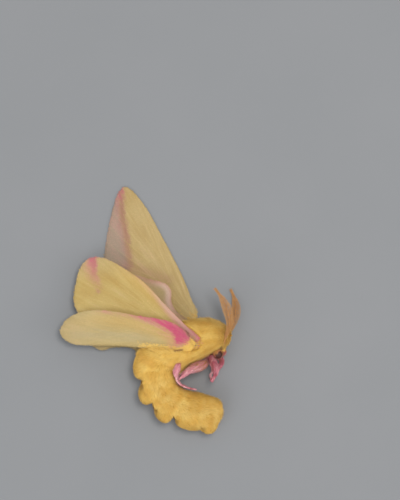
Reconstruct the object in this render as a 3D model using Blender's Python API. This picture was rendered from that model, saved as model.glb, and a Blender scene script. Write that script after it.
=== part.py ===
"""Rosy maple moth (Dryocampa rubicunda), male, life size.

The moth lies on its left side. +Z is up (the moth's right side faces up), the floor is z = 0.
+X points along the thorax to the head, +Y from the belly to the back, where the folded wings lie.
Origin: centre of the footprint, on the floor. The design is in millimetres and is scaled to metres at the end.
"""

import math

import bmesh
import bpy
import numpy as np
from mathutils import Matrix

for old in list(bpy.data.objects):
    bpy.data.objects.remove(old, do_unlink=True)

# ---------------------------------------------------------------- named sizes, millimetres
MM = 0.001
SHIFT_X, SHIFT_Y = -0.7255, 0.0398   # puts the middle of the footprint on the origin
CUT = 0.28                      # width of the cuts between lengths of the body
GAP = 0.26                      # clearance of a wing or leg in the fur that it lies in
EYE_GAP = 0.12                  # clearance of the eyes and antennae in the head
AROUND = 26                     # sides of a body section
STEP = 0.36                     # distance between body sections

# spine: the curl of the body, measured from the waist between thorax and abdomen (s = 0)
WAIST = (2.82, -5.92)
WAIST_HEADING = 214.0           # degrees, direction of the abdomen as it leaves the waist
CURL = 140.0                    # degrees that the abdomen turns
CURL_LENGTH = 12.06
CURL_POWER = 1.94
THORAX_BEND = 3.83              # degrees per mm from the waist towards the head
FRONT = -8.90                   # s of the front of the collar
TIP = 13.45                     # s of the end of the tail tuft
SQUARE = 2.25                   # superellipse exponent of the body sections
FLAT = 0.10                     # how much of the belly is pressed flat on the floor

# s of the cuts through the body
CUT_WAIST, CUT_1, CUT_2, CUT_3, CUT_4 = 0.0, 3.43, 5.56, 7.92, 11.08

WING_THICK = 0.50
WING_PITCH = 0.80               # step from one folded wing to the next
RIGHT_HINGE = (7.57, -4.1)
LEFT_HINGE = (6.9, -1.3)


def smooth(x):
    x = np.clip(x, 0.0, 1.0)
    return x * x * (3 - 2 * x)


def through(table, x):
    """Smooth curve through a few (position, value) pairs: cubic Hermite with finite-difference slopes."""
    t = np.array([p[0] for p in table], float)
    v = np.array([p[1] for p in table], float)
    m = np.gradient(v, t)
    x = float(np.clip(x, t[0], t[-1]))
    i = int(np.clip(np.searchsorted(t, x) - 1, 0, len(t) - 2))
    d = t[i + 1] - t[i]
    u = (x - t[i]) / d
    return float((2 * u**3 - 3 * u**2 + 1) * v[i] + (u**3 - 2 * u**2 + u) * d * m[i]
                 + (-2 * u**3 + 3 * u**2) * v[i + 1] + (u**3 - u**2) * d * m[i + 1])


def curve(points, n):
    """n points, evenly spaced, on a centripetal Catmull-Rom curve through the given points of any dimension."""
    p = np.array(points, float)
    p = np.vstack([2 * p[0] - p[1], p, 2 * p[-1] - p[-2]])
    out = []
    for i in range(1, len(p) - 2):
        k = [0.0]
        for j in range(3):
            k.append(k[-1] + max(np.linalg.norm(p[i + j] - p[i + j - 1]), 1e-6) ** 0.5)
        for t in np.linspace(k[1], k[2], 24, endpoint=False):
            a = [(k[j + 1] - t) / (k[j + 1] - k[j]) * p[i - 1 + j] + (t - k[j]) / (k[j + 1] - k[j]) * p[i + j]
                 for j in range(3)]
            b = [(k[j + 2] - t) / (k[j + 2] - k[j]) * a[j] + (t - k[j]) / (k[j + 2] - k[j]) * a[j + 1]
                 for j in range(2)]
            out.append((k[2] - t) / (k[2] - k[1]) * b[0] + (t - k[1]) / (k[2] - k[1]) * b[1])
    out.append(p[-2])
    out = np.array(out)
    length = np.concatenate([[0], np.cumsum(np.linalg.norm(np.diff(out[:, :2], axis=0), axis=1))])
    at = np.linspace(0, length[-1], n)
    return np.stack([np.interp(at, length, out[:, j]) for j in range(out.shape[1])], axis=1)


# ---------------------------------------------------------------- spine
def heading(s):
    if s < 0:
        return WAIST_HEADING + THORAX_BEND * s
    return WAIST_HEADING + CURL - CURL * max(0.0, 1 - s / CURL_LENGTH) ** CURL_POWER


_S = np.linspace(-10.0, 15.0, 2501)
_H = np.radians([heading(s) for s in _S])
_D = np.stack([np.cos(_H), np.sin(_H)], axis=1)
_C = np.concatenate([[[0.0, 0.0]], np.cumsum((_D[1:] + _D[:-1]) / 2 * (_S[1] - _S[0]), axis=0)])
_C += np.array(WAIST) - _C[int(np.argmin(abs(_S)))]


def spine(s):
    """Centre, heading and outward normal (towards the back) of the body at s, in the plane of the floor."""
    c = np.array([np.interp(s, _S, _C[:, 0]), np.interp(s, _S, _C[:, 1])])
    a = math.radians(heading(s))
    return c, np.array([math.cos(a), math.sin(a)]), np.array([math.sin(a), -math.cos(a)])


# ---------------------------------------------------------------- body sections
BACK_T = [(-8.6, 1.9), (-7.6, 2.2), (-6.5, 2.55), (-5.2, 2.85), (-3.8, 2.98), (-2.0, 2.85), (-0.6, 2.6), (0.8, 2.4)]
BELLY_T = [(-8.6, 2.3), (-7.2, 2.25), (-6.2, 2.26), (-5.4, 2.42), (-4.5, 2.52), (-3.5, 2.64), (-2.4, 2.64), (-0.6, 2.88),
           (0.8, 2.9)]
HEIGHT = [(-8.6, 2.35), (-6.5, 2.62), (-4.5, 2.75), (-2.0, 2.62), (0.0, 2.42), (3.0, 2.22), (7.0, 2.1), (11.0, 1.95),
          (13.5, 1.6)]
BELLY_A = [(-0.8, 2.5), (0.0, 2.46), (0.7, 2.48), (1.6, 2.6), (3.0, 2.62), (4.2, 2.45), (5.5, 2.2), (7.0, 2.1),
           (8.7, 2.12), (10.0, 2.18), (11.2, 2.02), (12.4, 1.75), (13.5, 1.5)]
BACK_A = [(-0.8, 2.6), (0.5, 2.35), (1.6, 2.0), (3.0, 1.98), (7.5, 1.9), (8.2, 1.9), (11.5, 1.95), (13.5, 1.7)]
# fans of long hair on the back of each ring: start, end, height, lean towards the tail
FANS = {1: (0.5, 3.46, 1.28, 1.12), 2: (3.38, 5.6, 1.28, 1.5), 3: (5.54, 8.06, 1.38, 1.42), 4: (7.98, 11.9, 1.1, 0.74),
        5: (10.6, 13.5, 1.28, 1.1)}
ROLL = [(-9.0, 35.0), (-2.0, 33.0), (2.0, 24.0), (6.0, 15.0), (13.5, 8.0)]
# height of the same hair on the flanks, where it closes over the notches between the fans
MANE = [(0.2, 0.0), (1.0, 0.78), (2.2, 1.02), (3.4, 0.82), (4.5, 1.0), (6.6, 1.08), (7.9, 0.82), (9.2, 0.98), (12.0, 1.05), (13.5, 0.7)]
CREST = (0.80, 0.97)            # cosines of the angles from the ridge of the back between which the notches close


def smooth(x, a, b):
    x = min(max((x - a) / (b - a), 0.0), 1.0)
    return x * x * (3 - 2 * x)


def fan(k, s):
    if k not in FANS:
        return 0.0
    a, b, high, lean = FANS[k]
    u = (s - a) / (b - a)
    if not 0 < u < 1:
        return 0.0
    return high * (1 - abs(2 * u**lean - 1) ** 2.3) ** (1 / 2.0)


def front_round(s):
    u = np.clip((FRONT + 2.6 - s) / 2.6, 0, 1)
    return max(0.0, 1 - u**2.3) ** (1 / 2.1)


def tip_round(s):
    u = np.clip((s - (TIP - 1.25)) / 1.25, 0, 1)
    return max(0.0, 1 - u**2.4) ** (1 / 2.2)


def ring(s, k, grow=0.0):
    """One closed section of the body: k = 0 is the thorax, 1 to 5 the lengths of the abdomen."""
    c, _, n = spine(s)
    if k == 0:
        back, belly = through(BACK_T, s), through(BELLY_T, s)
    else:
        back, belly = through(BACK_A, s), through(BELLY_A, s)
    high = through(HEIGHT, s)
    mid = high - FLAT
    f = front_round(s) * tip_round(s)
    fan_high, roll = fan(k, s), math.radians(through(ROLL, s))
    mane = through(MANE, s) if k in FANS else 0.0
    out = []
    for j in range(AROUND):
        a = 2 * math.pi * (j + 0.5) / AROUND
        ca, sa = math.cos(a), math.sin(a)
        wide = back if ca > 0 else belly
        rho = (abs(ca / wide) ** SQUARE + abs(sa / high) ** SQUARE) ** (-1 / SQUARE)
        ridge = max(0.0, math.cos(a - roll * 0.6))
        crest = smooth(ridge, *CREST)
        rho += (fan_high * crest + mane * (1 - crest)) * ridge**1.3
        rho = rho * f + grow
        z = mid + rho * sa
        out.append((*(c + n * rho * ca), max(z, 0.0 if grow == 0 else -grow)))
    return out


# ---------------------------------------------------------------- mesh makers
def finish(name, bm, material):
    bmesh.ops.recalc_face_normals(bm, faces=bm.faces[:])
    for v in bm.verts:
        v.co.x += SHIFT_X
        v.co.y += SHIFT_Y
    mesh = bpy.data.meshes.new(name)
    bm.to_mesh(mesh)
    bm.free()
    mesh.shade_smooth()
    mesh.set_sharp_from_angle(angle=math.radians(40))
    ob = bpy.data.objects.new(name, mesh)
    bpy.context.scene.collection.objects.link(ob)
    if material is None:
        ob.hide_render = True
        ob.display_type = "WIRE"
    else:
        mesh.materials.append(material)
    return ob


def loft(rings):
    """Closed tube through the given rings, each a list of as many points, with flat end caps."""
    bm = bmesh.new()
    rows = [[bm.verts.new(p) for p in r] for r in rings]
    for a, b in zip(rows, rows[1:]):
        for j in range(len(a)):
            k = (j + 1) % len(a)
            bm.faces.new((a[j], a[k], b[k], b[j]))
    bm.faces.new(rows[0][::-1])
    bm.faces.new(rows[-1])
    return bm


def slice_off(bm, point, normal):
    """Cuts the mesh with a plane, keeps the side that the normal points away from, and closes it flat."""
    bmesh.ops.bisect_plane(bm, geom=bm.verts[:] + bm.edges[:] + bm.faces[:], dist=1e-5, plane_co=point, plane_no=normal,
                           clear_outer=True)
    rim = [e for e in bm.edges if e.is_boundary]
    bmesh.ops.holes_fill(bm, edges=rim, sides=0)


def body_length(name, k, start, end, material, grow=0.0):
    lead, tail = 0.9, 0.9
    a = FRONT if start is None else start - lead
    b = TIP if end is None else end + tail
    n = int(round((b - a) / STEP)) + 1
    u = np.linspace(0, 1, n)
    if start is None:
        u = 1 - np.cos(u * math.pi / 2) if n < 12 else np.concatenate([[0.0015, 0.008], u[1:]])
    if end is None:
        u = np.concatenate([u[:-1], [1 - 0.03, 1 - 0.008, 1 - 0.0015]])
    s_all = sorted(a + (b - a) * x for x in u)
    bm = loft([ring(s, k, grow) for s in s_all])
    for s, side in ((start, -1), (end, 1)):
        if s is not None:
            c, h, _ = spine(s)
            p = c - side * h * (CUT / 2 - grow)
            slice_off(bm, (p[0], p[1], 0), (side * h[0], side * h[1], 0))
    return finish(name, bm, material)


def limb(name, points, material, grow=0.0, sides=8, flat=1.0, up=1.0):
    """Round or flattened tube: points are (x, y, z, radius); flat scales its width, up its height."""
    p = curve(points, max(6, int(len(points) * 2.6)))
    d = np.gradient(p[:, :3], axis=0)
    d /= np.linalg.norm(d, axis=1)[:, None]
    rings = []
    last = len(p) - 1
    stops = [(0, -0.55, 0.55)] + [(i, 0.0, 1.0) for i in range(last + 1)] + [(last, 0.55, 0.55)]
    for i, push, size in stops:
        side = np.cross(d[i], (0, 0, 1.0))
        side /= np.linalg.norm(side)
        top = np.cross(side, d[i])
        r = p[i, 3]
        c = p[i, :3] + d[i] * push * (r + grow)
        row = []
        for j in range(sides):
            a = 2 * math.pi * (j + 0.5) / sides
            q = c + (side * math.cos(a) * (r * flat + grow) + top * math.sin(a) * (r * up + grow)) * size
            row.append((q[0], q[1], max(q[2], 0.0) if grow == 0 else q[2]))
        rings.append(row)
    return finish(name, loft(rings), material)


def wing(name, lead, trail, height, material, grow=0.0, open_top=False, ribs=24, chords=7):
    """Thin plate between a leading and a trailing edge that both run from the hinge to the apex."""
    a, b = curve(lead, ribs), curve(trail, ribs)
    bm = bmesh.new()
    faces = [[], []]
    for i in range(ribs):
        row = [[], []]
        for j in range(chords + 1):
            q = a[i] * (1 - j / chords) + b[i] * (j / chords)
            row[0].append(q)
        faces[0].append(row[0])
    grid = np.array(faces[0])
    if grow:
        # push the edge outwards by the clearance
        centre = grid.reshape(-1, 2).mean(0)
        edge_l, edge_t = np.gradient(a, axis=0), np.gradient(b, axis=0)
        for i in range(ribs):
            for j, e in ((0, edge_l[i]), (chords, edge_t[i])):
                nn = np.array([e[1], -e[0]]) / (np.linalg.norm(e) + 1e-9)
                if np.dot(nn, grid[i, j] - grid[i, chords // 2] + 1e-9) < 0:
                    nn = -nn
                grid[i, j] = grid[i, j] + nn * grow
        for i, k in ((0, 1), (ribs - 1, ribs - 2)):
            away = grid[i].mean(0) - grid[k].mean(0)
            grid[i] += away / (np.linalg.norm(away) + 1e-9) * grow
        del centre
    top, low = [], []
    for i in range(ribs):
        rt, rl = [], []
        for j in range(chords + 1):
            x, y = grid[i, j]
            z = height(x, y)
            rt.append(bm.verts.new((x, y, 12.0 if open_top else z + WING_THICK / 2 + grow)))
            rl.append(bm.verts.new((x, y, z - WING_THICK / 2 - grow)))
        top.append(rt)
        low.append(rl)
    for i in range(ribs - 1):
        for j in range(chords):
            bm.faces.new((top[i][j], top[i + 1][j], top[i + 1][j + 1], top[i][j + 1]))
            bm.faces.new((low[i][j], low[i][j + 1], low[i + 1][j + 1], low[i + 1][j]))
        for j in (0, chords):
            bm.faces.new((top[i][j], low[i][j], low[i + 1][j], top[i + 1][j]))
    for i in (0, ribs - 1):
        for j in range(chords):
            bm.faces.new((top[i][j], top[i][j + 1], low[i][j + 1], low[i][j]))
    bmesh.ops.remove_doubles(bm, verts=bm.verts[:], dist=0.004)
    return finish(name, bm, material)


def ball(name, centre, axes, radii, material, grow=0.0, rows=9, sides=14, nose=0.0):
    """Ellipsoid with its own axes; nose draws its front end out."""
    rings = []
    c = np.array(centre, float)
    for i in range(rows + 1):
        t = math.pi * (0.03 + 0.94 * i / rows)
        along = -math.cos(t) * (radii[0] + grow)
        around = math.sin(t)
        if along > 0:
            along *= 1 + nose * (along / radii[0]) ** 2
        row = []
        for j in range(sides):
            a = 2 * math.pi * (j + 0.5) / sides
            q = c + axes[0] * along + axes[1] * (radii[1] + grow) * around * math.cos(a) \
                + axes[2] * (radii[2] + grow) * around * math.sin(a)
            row.append(tuple(q))
        rings.append(row)
    return finish(name, loft(rings), material)


def carve(ob, cutters):
    for c in cutters:
        m = ob.modifiers.new("clear_" + c.name, "BOOLEAN")
        m.operation = "DIFFERENCE"
        m.solver = "EXACT"
        m.object = c


def paint(name, colour, rough, metal=0.0):
    m = bpy.data.materials.new(name)
    m.use_nodes = True
    b = m.node_tree.nodes["Principled BSDF"]
    b.inputs["Base Color"].default_value = (*colour, 1)
    b.inputs["Roughness"].default_value = rough
    b.inputs["Metallic"].default_value = metal
    return m


FUR = paint("yellow_fur", (0.78, 0.50, 0.09), 0.9)
FUR_DEEP = paint("golden_fur", (0.74, 0.43, 0.06), 0.9)
SCALE = paint("wing_scales", (0.62, 0.46, 0.13), 0.85)
SCALE_FAR = paint("wing_scales_pale", (0.60, 0.42, 0.17), 0.85)
PINK = paint("pink_leg_scales", (0.55, 0.13, 0.16), 0.8)
TAN = paint("antenna_tan", (0.55, 0.30, 0.16), 0.8)
EYE = paint("compound_eye", (0.045, 0.015, 0.012), 0.25)


# ---------------------------------------------------------------- wings
def lift(hinge, low, high, reach, power):
    def height(x, y):
        d = math.hypot(x - hinge[0], y - hinge[1])
        return low + (high - low) * max(0.0, 1 - d / reach) ** power
    return height


Z_FL = lift(LEFT_HINGE, WING_THICK / 2, 1.55, 6.0, 1.6)
Z_HL = lift(LEFT_HINGE, WING_THICK / 2 + WING_PITCH, 2.35, 6.0, 1.6)
Z_FR = lift(RIGHT_HINGE, WING_THICK / 2 + 2 * WING_PITCH, 4.75, 13.0, 1.35)
Z_HR = lift(RIGHT_HINGE, WING_THICK / 2 + 3 * WING_PITCH, 5.55, 13.0, 1.35)

FORE_LEFT = (
    [(6.9, -0.9), (5.6, 3.0), (3.6, 7.2), (1.9, 10.4), (0.6, 12.8), (-1.1, 15.1), (-2.2, 15.95), (-2.75, 16.08)],
    [(6.2, -2.2), (3.4, 0.2), (-0.6, 2.9), (-4.4, 5.0), (-5.35, 6.3), (-5.2, 8.2), (-4.55, 12.0), (-3.7, 14.9),
     (-3.1, 15.85), (-2.95, 16.02)],
)
HIND_LEFT = (
    [(6.1, -2.0), (4.4, -0.4), (3.65, 1.0), (3.62, 2.3), (2.9, 3.35), (1.0, 3.9), (-1.5, 4.65), (-4.2, 4.7),
     (-6.3, 3.4), (-7.2, 1.6)],
    [(5.7, -3.3), (3.6, -4.6), (1.2, -5.7), (-0.75, -6.05), (-1.5, -5.25), (-2.3, -5.05), (-4.3, -5.1), (-5.6, -5.42),
     (-6.7, -4.9), (-7.45, -2.8), (-7.6, -0.4), (-7.25, 1.4)],
)
FORE_RIGHT = (
    [(7.6, -4.0), (6.2, -2.65), (4.6, -1.05), (2.65, 0.9), (0.35, 3.35), (-2.1, 5.15), (-4.7, 6.6), (-6.2, 6.92)],
    [(6.9, -5.0), (3.2, -4.6), (-2.0, -3.9), (-6.6, -2.2), (-8.75, -0.4), (-9.27, 1.2), (-8.95, 3.6), (-8.45, 5.35),
     (-7.4, 6.62), (-6.45, 6.9)],
)
HIND_RIGHT = (
    [(6.8, -4.4), (5.7, -3.05), (4.05, -1.75), (2.3, -1.15), (-0.6, -0.72), (-3.6, -0.15), (-6.6, 0.06), (-8.9, -0.45),
     (-10.3, -1.4), (-10.95, -2.5)],
    [(6.1, -5.2), (4.2, -5.35), (0.5, -5.05), (-3.6, -4.78), (-6.9, -4.74), (-9.1, -4.6), (-10.2, -4.1),
     (-10.85, -3.4), (-11.02, -2.75)],
)

fore_left = wing("wing_fore_left", *FORE_LEFT, Z_FL, SCALE_FAR)
hind_left = wing("wing_hind_left", *HIND_LEFT, Z_HL, SCALE)
fore_right = wing("wing_fore_right", *FORE_RIGHT, Z_FR, SCALE)
hind_right = wing("wing_hind_right", *HIND_RIGHT, Z_HR, SCALE)
over_fore = wing("clear_fore_right", *FORE_RIGHT, Z_FR, None, grow=GAP, open_top=True)
over_hind = wing("clear_hind_right", *HIND_RIGHT, Z_HR, None, grow=GAP, open_top=True)

# ---------------------------------------------------------------- body
thorax = body_length("thorax", 0, None, CUT_WAIST, FUR)
abdomen = [
    body_length("abdomen_1", 1, CUT_WAIST, CUT_1, FUR),
    body_length("abdomen_2", 2, CUT_1, CUT_2, FUR),
    body_length("abdomen_3", 3, CUT_2, CUT_3, FUR),
    body_length("abdomen_4", 4, CUT_3, CUT_4, FUR),
    body_length("abdomen_5", 5, CUT_4, None, FUR_DEEP),
]
round_thorax = body_length("clear_thorax", 0, None, CUT_WAIST, None, grow=GAP)
round_waist = body_length("clear_waist", 1, CUT_WAIST, CUT_1, None, grow=GAP)

# ---------------------------------------------------------------- head, eyes, antennae
HEAD = (9.50, -5.15, 2.75)
FACE = np.array([0.50, -0.866, 0.0])                 # the face is tucked under, away from the back
ROLL_H = math.radians(15)
CROWN = np.array([0.866, 0.50, 0.0]) * math.cos(ROLL_H) + np.array([0, 0, 1.0]) * math.sin(ROLL_H)
SIDE = np.cross(FACE, CROWN)
SIDE = SIDE if SIDE[2] > 0 else -SIDE               # towards the right eye
EYE_R = 0.56
HEAD_R = (1.03, 1.10, 1.15)                         # towards the face, the crown and the sides
eye_at = [np.array(HEAD) + SIDE * 0.90 * k + FACE * 0.53 - CROWN * 0.05 for k in (1, -1)]
head = ball("head", HEAD, (FACE, CROWN, SIDE), HEAD_R, FUR, nose=0.25)
clear_head = ball("clear_head", HEAD, (FACE, CROWN, SIDE), HEAD_R, None, grow=GAP, nose=0.25)
eyes, eye_cut = [], []
for k, at in zip(("right", "left"), eye_at):
    eyes.append(ball("eye_" + k, at, (SIDE, FACE, CROWN), (EYE_R, EYE_R, EYE_R), EYE, rows=8, sides=12))
    eye_cut.append(ball("clear_eye_" + k, at, (SIDE, FACE, CROWN), (EYE_R, EYE_R, EYE_R), None, grow=EYE_GAP, rows=8,
                        sides=12))

ANTENNA_RIGHT = [(10.15, -4.6, 3.6, 0.26), (10.5, -3.5, 4.2, 0.3), (10.95, -1.9, 4.6, 0.62), (10.85, -0.6, 4.75, 0.74),
                 (10.4, 0.75, 4.75, 0.56), (9.75, 1.9, 4.6, 0.27), (9.0, 2.9, 4.4, 0.25)]
ANTENNA_LEFT = [(10.33, -4.6, 1.95, 0.26), (10.75, -3.6, 1.5, 0.3), (11.35, -2.1, 1.15, 0.6), (11.75, -0.9, 0.85, 0.74),
                (11.85, 0.4, 0.6, 0.56), (11.6, 1.6, 0.4, 0.27), (11.15, 2.7, 0.27, 0.25)]


def feeler(name, pts, material, grow=0.0):
    p = curve(pts, 15)
    d = np.gradient(p[:, :3], axis=0)
    d /= np.linalg.norm(d, axis=1)[:, None]
    rings = []
    for i in range(len(p)):
        side = np.cross(d[i], (0, 0, 1.0))
        side /= np.linalg.norm(side)
        top = np.cross(side, d[i])
        end = 0.6 if i in (0, len(p) - 1) else 1.0
        rings.append([tuple(p[i, :3] + side * math.cos(a) * (p[i, 3] * end + grow) + top * math.sin(a) * (0.27 * end + grow))
                      for a in (2 * math.pi * (j + 0.5) / 8 for j in range(8))])
    rings = [[(x, y, max(z, 0.0) if grow == 0 else z) for x, y, z in r] for r in rings]
    return finish(name, loft(rings), material)


antennae = [feeler("antenna_right", ANTENNA_RIGHT, TAN), feeler("antenna_left", ANTENNA_LEFT, TAN)]
antenna_cut = [feeler("clear_antenna_right", ANTENNA_RIGHT, None, grow=EYE_GAP),
               feeler("clear_antenna_left", ANTENNA_LEFT, None, grow=EYE_GAP)]

# ---------------------------------------------------------------- legs: (x, y, z, radius) of hip, thigh, knee, shin, foot
LEGS = {
    "leg_fore_right": [(8.62, -5.98, 2.85, 0.5), (9.0, -6.95, 3.38, 0.6), (9.22, -7.55, 3.38, 0.48),
                       (9.26, -8.15, 3.15, 0.31), (8.98, -8.8, 2.88, 0.25), (8.7, -9.25, 2.7, 0.25)],
    "leg_mid_right": [(8.2, -6.65, 2.4, 0.42), (7.6, -7.1, 3.1, 0.68), (6.95, -7.38, 3.45, 0.68),
                      (6.05, -7.75, 3.45, 0.47), (5.2, -8.4, 3.3, 0.33), (4.5, -8.98, 3.1, 0.25)],
    "leg_hind_right": [(4.45, -6.85, 4.25, 0.38), (4.3, -7.45, 4.2, 0.48), (4.12, -8.15, 3.95, 0.36),
                       (4.2, -9.15, 3.5, 0.25), (4.85, -9.8, 3.15, 0.25), (5.9, -10.2, 2.92, 0.25), (6.6, -10.35, 2.78, 0.25)],
    "leg_fore_left": [(9.76, -6.15, 1.1, 0.36), (9.98, -6.7, 1.15, 0.4), (9.86, -7.25, 0.95, 0.36),
                      (9.6, -7.85, 0.6, 0.25), (9.3, -8.4, 0.25, 0.25)],
    "leg_mid_left": [(8.2, -6.35, 1.5, 0.34), (8.9, -7.2, 1.6, 0.36), (8.85, -8.0, 1.35, 0.28),
                     (8.55, -8.6, 0.9, 0.26), (8.7, -9.2, 0.25, 0.25)],
    "leg_hind_left": [(6.4, -7.0, 1.3, 0.36), (5.3, -7.9, 1.2, 0.34), (4.35, -8.8, 0.95, 0.28),
                      (4.55, -9.7, 0.55, 0.25), (5.4, -10.2, 0.25, 0.25)],
}
legs = {k: limb(k, p, PINK) for k, p in LEGS.items()}
leg_cut = {k: limb("clear_" + k, p, None, grow=GAP * 0.8) for k, p in LEGS.items()}

# ---------------------------------------------------------------- clearances
carve(fore_left, [round_thorax, round_waist])
carve(hind_left, [round_thorax, round_waist])
carve(legs["leg_fore_right"], eye_cut[:1])
carve(thorax, [over_fore, over_hind, clear_head] + eye_cut + antenna_cut + list(leg_cut.values()))
carve(abdomen[0], [over_fore, over_hind, leg_cut["leg_hind_right"], leg_cut["leg_hind_left"]])
carve(abdomen[1], [leg_cut["leg_hind_right"], leg_cut["leg_hind_left"]])
carve(abdomen[2], [leg_cut["leg_hind_right"], leg_cut["leg_hind_left"]])
carve(abdomen[3], [leg_cut["leg_hind_right"], leg_cut["leg_hind_left"]])
carve(head, eye_cut + antenna_cut + [leg_cut["leg_fore_right"], leg_cut["leg_fore_left"]])

# ---------------------------------------------------------------- to metres: the cuts are applied and the cutters go
bpy.context.view_layer.update()
graph = bpy.context.evaluated_depsgraph_get()
solids = [ob for ob in bpy.data.objects if not ob.hide_render]
cut = {ob.name: bpy.data.meshes.new_from_object(ob.evaluated_get(graph)) for ob in solids}
for ob in solids:
    ob.modifiers.clear()
    ob.data = cut[ob.name]
    ob.data.transform(Matrix.Scale(MM, 4))
for ob in [o for o in bpy.data.objects if o.hide_render]:
    bpy.data.objects.remove(ob, do_unlink=True)
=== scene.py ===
"""Looks of the rosy maple moth: skin, fur, scaled wings, legs, feathered antennae and eyes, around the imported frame.

All shapes are worked out in millimetres in the design frame of the model and moved to metres at the end.
"""

import math

import bmesh
import bpy
import numpy as np
from mathutils import Matrix, Vector


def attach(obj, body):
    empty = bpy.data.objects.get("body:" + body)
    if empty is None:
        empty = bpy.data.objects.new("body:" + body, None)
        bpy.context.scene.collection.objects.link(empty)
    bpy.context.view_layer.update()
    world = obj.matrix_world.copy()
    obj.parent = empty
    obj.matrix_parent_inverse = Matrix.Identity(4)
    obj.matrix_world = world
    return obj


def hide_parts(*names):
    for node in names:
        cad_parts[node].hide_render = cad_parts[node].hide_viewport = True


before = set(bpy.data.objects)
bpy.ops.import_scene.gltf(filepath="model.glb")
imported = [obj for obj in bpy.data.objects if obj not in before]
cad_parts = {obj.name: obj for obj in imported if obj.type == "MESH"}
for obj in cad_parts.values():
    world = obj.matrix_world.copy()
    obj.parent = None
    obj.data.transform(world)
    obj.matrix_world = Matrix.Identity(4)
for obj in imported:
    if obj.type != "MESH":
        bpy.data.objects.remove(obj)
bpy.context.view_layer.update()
RNG = np.random.default_rng(20241)

MM = 0.001
SHIFT = np.array([-0.7255, 0.0398, 0.0])

# ------------------------------------------------------------------ sizes shared with the solids, millimetres
WAIST = (2.82, -5.92)
WAIST_HEADING, CURL, CURL_LENGTH, CURL_POWER, THORAX_BEND = 214.0, 140.0, 12.06, 1.94, 3.83
FRONT, TIP, SQUARE, FLAT = -8.90, 13.45, 2.25, 0.10
RIGHT_HINGE, LEFT_HINGE = (7.57, -4.1), (6.9, -1.3)
WING_THICK, WING_PITCH = 0.50, 0.80

BACK_T = [(-8.6, 1.9), (-7.6, 2.2), (-6.5, 2.55), (-5.2, 2.85), (-3.8, 2.98), (-2.0, 2.85), (-0.6, 2.6), (0.8, 2.4)]
BELLY_T = [(-8.6, 2.3), (-7.2, 2.25), (-6.2, 2.26), (-5.4, 2.42), (-4.5, 2.52), (-3.5, 2.64), (-2.4, 2.64), (-0.6, 2.88),
           (0.8, 2.9)]
HEIGHT = [(-8.6, 2.35), (-6.5, 2.62), (-4.5, 2.75), (-2.0, 2.62), (0.0, 2.42), (3.0, 2.22), (7.0, 2.1), (11.0, 1.95),
          (13.5, 1.6)]
BELLY_A = [(-0.8, 2.5), (0.0, 2.46), (0.7, 2.48), (1.6, 2.6), (3.0, 2.62), (4.2, 2.45), (5.5, 2.2), (7.0, 2.1),
           (8.7, 2.12), (10.0, 2.18), (11.2, 2.02), (12.4, 1.75), (13.5, 1.5)]
BACK_A = [(-0.8, 2.6), (0.5, 2.35), (1.6, 2.0), (3.0, 1.98), (7.5, 1.9), (8.2, 1.9), (11.5, 1.95), (13.5, 1.7)]
FANS = {1: (0.5, 3.46, 1.28, 1.12), 2: (3.38, 5.6, 1.28, 1.5), 3: (5.54, 8.06, 1.38, 1.42), 4: (7.98, 11.9, 1.1, 0.74),
        5: (10.6, 13.5, 1.28, 1.1)}
ROLL = [(-9.0, 35.0), (-2.0, 33.0), (2.0, 24.0), (6.0, 15.0), (13.5, 8.0)]
MANE = [(0.2, 0.0), (1.0, 0.78), (2.2, 1.02), (3.4, 0.82), (4.5, 1.0), (6.6, 1.08), (7.9, 0.82), (9.2, 0.98), (12.0, 1.05),
        (13.5, 0.7)]
CREST = (0.80, 0.97)
CUTS = (0.0, 3.43, 5.56, 7.92, 11.08)

FORE_LEFT = (
    [(6.9, -0.9), (5.6, 3.0), (3.6, 7.2), (1.9, 10.4), (0.6, 12.8), (-1.1, 15.1), (-2.2, 15.95), (-2.75, 16.08)],
    [(6.2, -2.2), (3.4, 0.2), (-0.6, 2.9), (-4.4, 5.0), (-5.35, 6.3), (-5.2, 8.2), (-4.55, 12.0), (-3.7, 14.9),
     (-3.1, 15.85), (-2.95, 16.02)],
)
HIND_LEFT = (
    [(6.1, -2.0), (4.4, -0.4), (3.65, 1.0), (3.62, 2.3), (2.9, 3.35), (1.0, 3.9), (-1.5, 4.65), (-4.2, 4.7),
     (-6.3, 3.4), (-7.2, 1.6)],
    [(5.7, -3.3), (3.6, -4.6), (1.2, -5.7), (-0.75, -6.05), (-1.5, -5.25), (-2.3, -5.05), (-4.3, -5.1), (-5.6, -5.42),
     (-6.7, -4.9), (-7.45, -2.8), (-7.6, -0.4), (-7.25, 1.4)],
)
FORE_RIGHT = (
    [(7.6, -4.0), (6.2, -2.65), (4.6, -1.05), (2.65, 0.9), (0.35, 3.35), (-2.1, 5.15), (-4.7, 6.6), (-6.2, 6.92)],
    [(6.9, -5.0), (3.2, -4.6), (-2.0, -3.9), (-6.6, -2.2), (-8.75, -0.4), (-9.27, 1.2), (-8.95, 3.6), (-8.45, 5.35),
     (-7.4, 6.62), (-6.45, 6.9)],
)
HIND_RIGHT = (
    [(6.8, -4.4), (5.7, -3.05), (4.05, -1.75), (2.3, -1.15), (-0.6, -0.72), (-3.6, -0.15), (-6.6, 0.06), (-8.9, -0.45),
     (-10.3, -1.4), (-10.95, -2.5)],
    [(6.1, -5.2), (4.2, -5.35), (0.5, -5.05), (-3.6, -4.78), (-6.9, -4.74), (-9.1, -4.6), (-10.2, -4.1),
     (-10.85, -3.4), (-11.02, -2.75)],
)
HEAD = np.array((9.50, -5.15, 2.75))
FACE = np.array([0.50, -0.866, 0.0])
ROLL_H = math.radians(15)
CROWN = np.array([0.866, 0.50, 0.0]) * math.cos(ROLL_H) + np.array([0, 0, 1.0]) * math.sin(ROLL_H)
SIDE = np.cross(FACE, CROWN)
SIDE = SIDE if SIDE[2] > 0 else -SIDE
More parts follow.
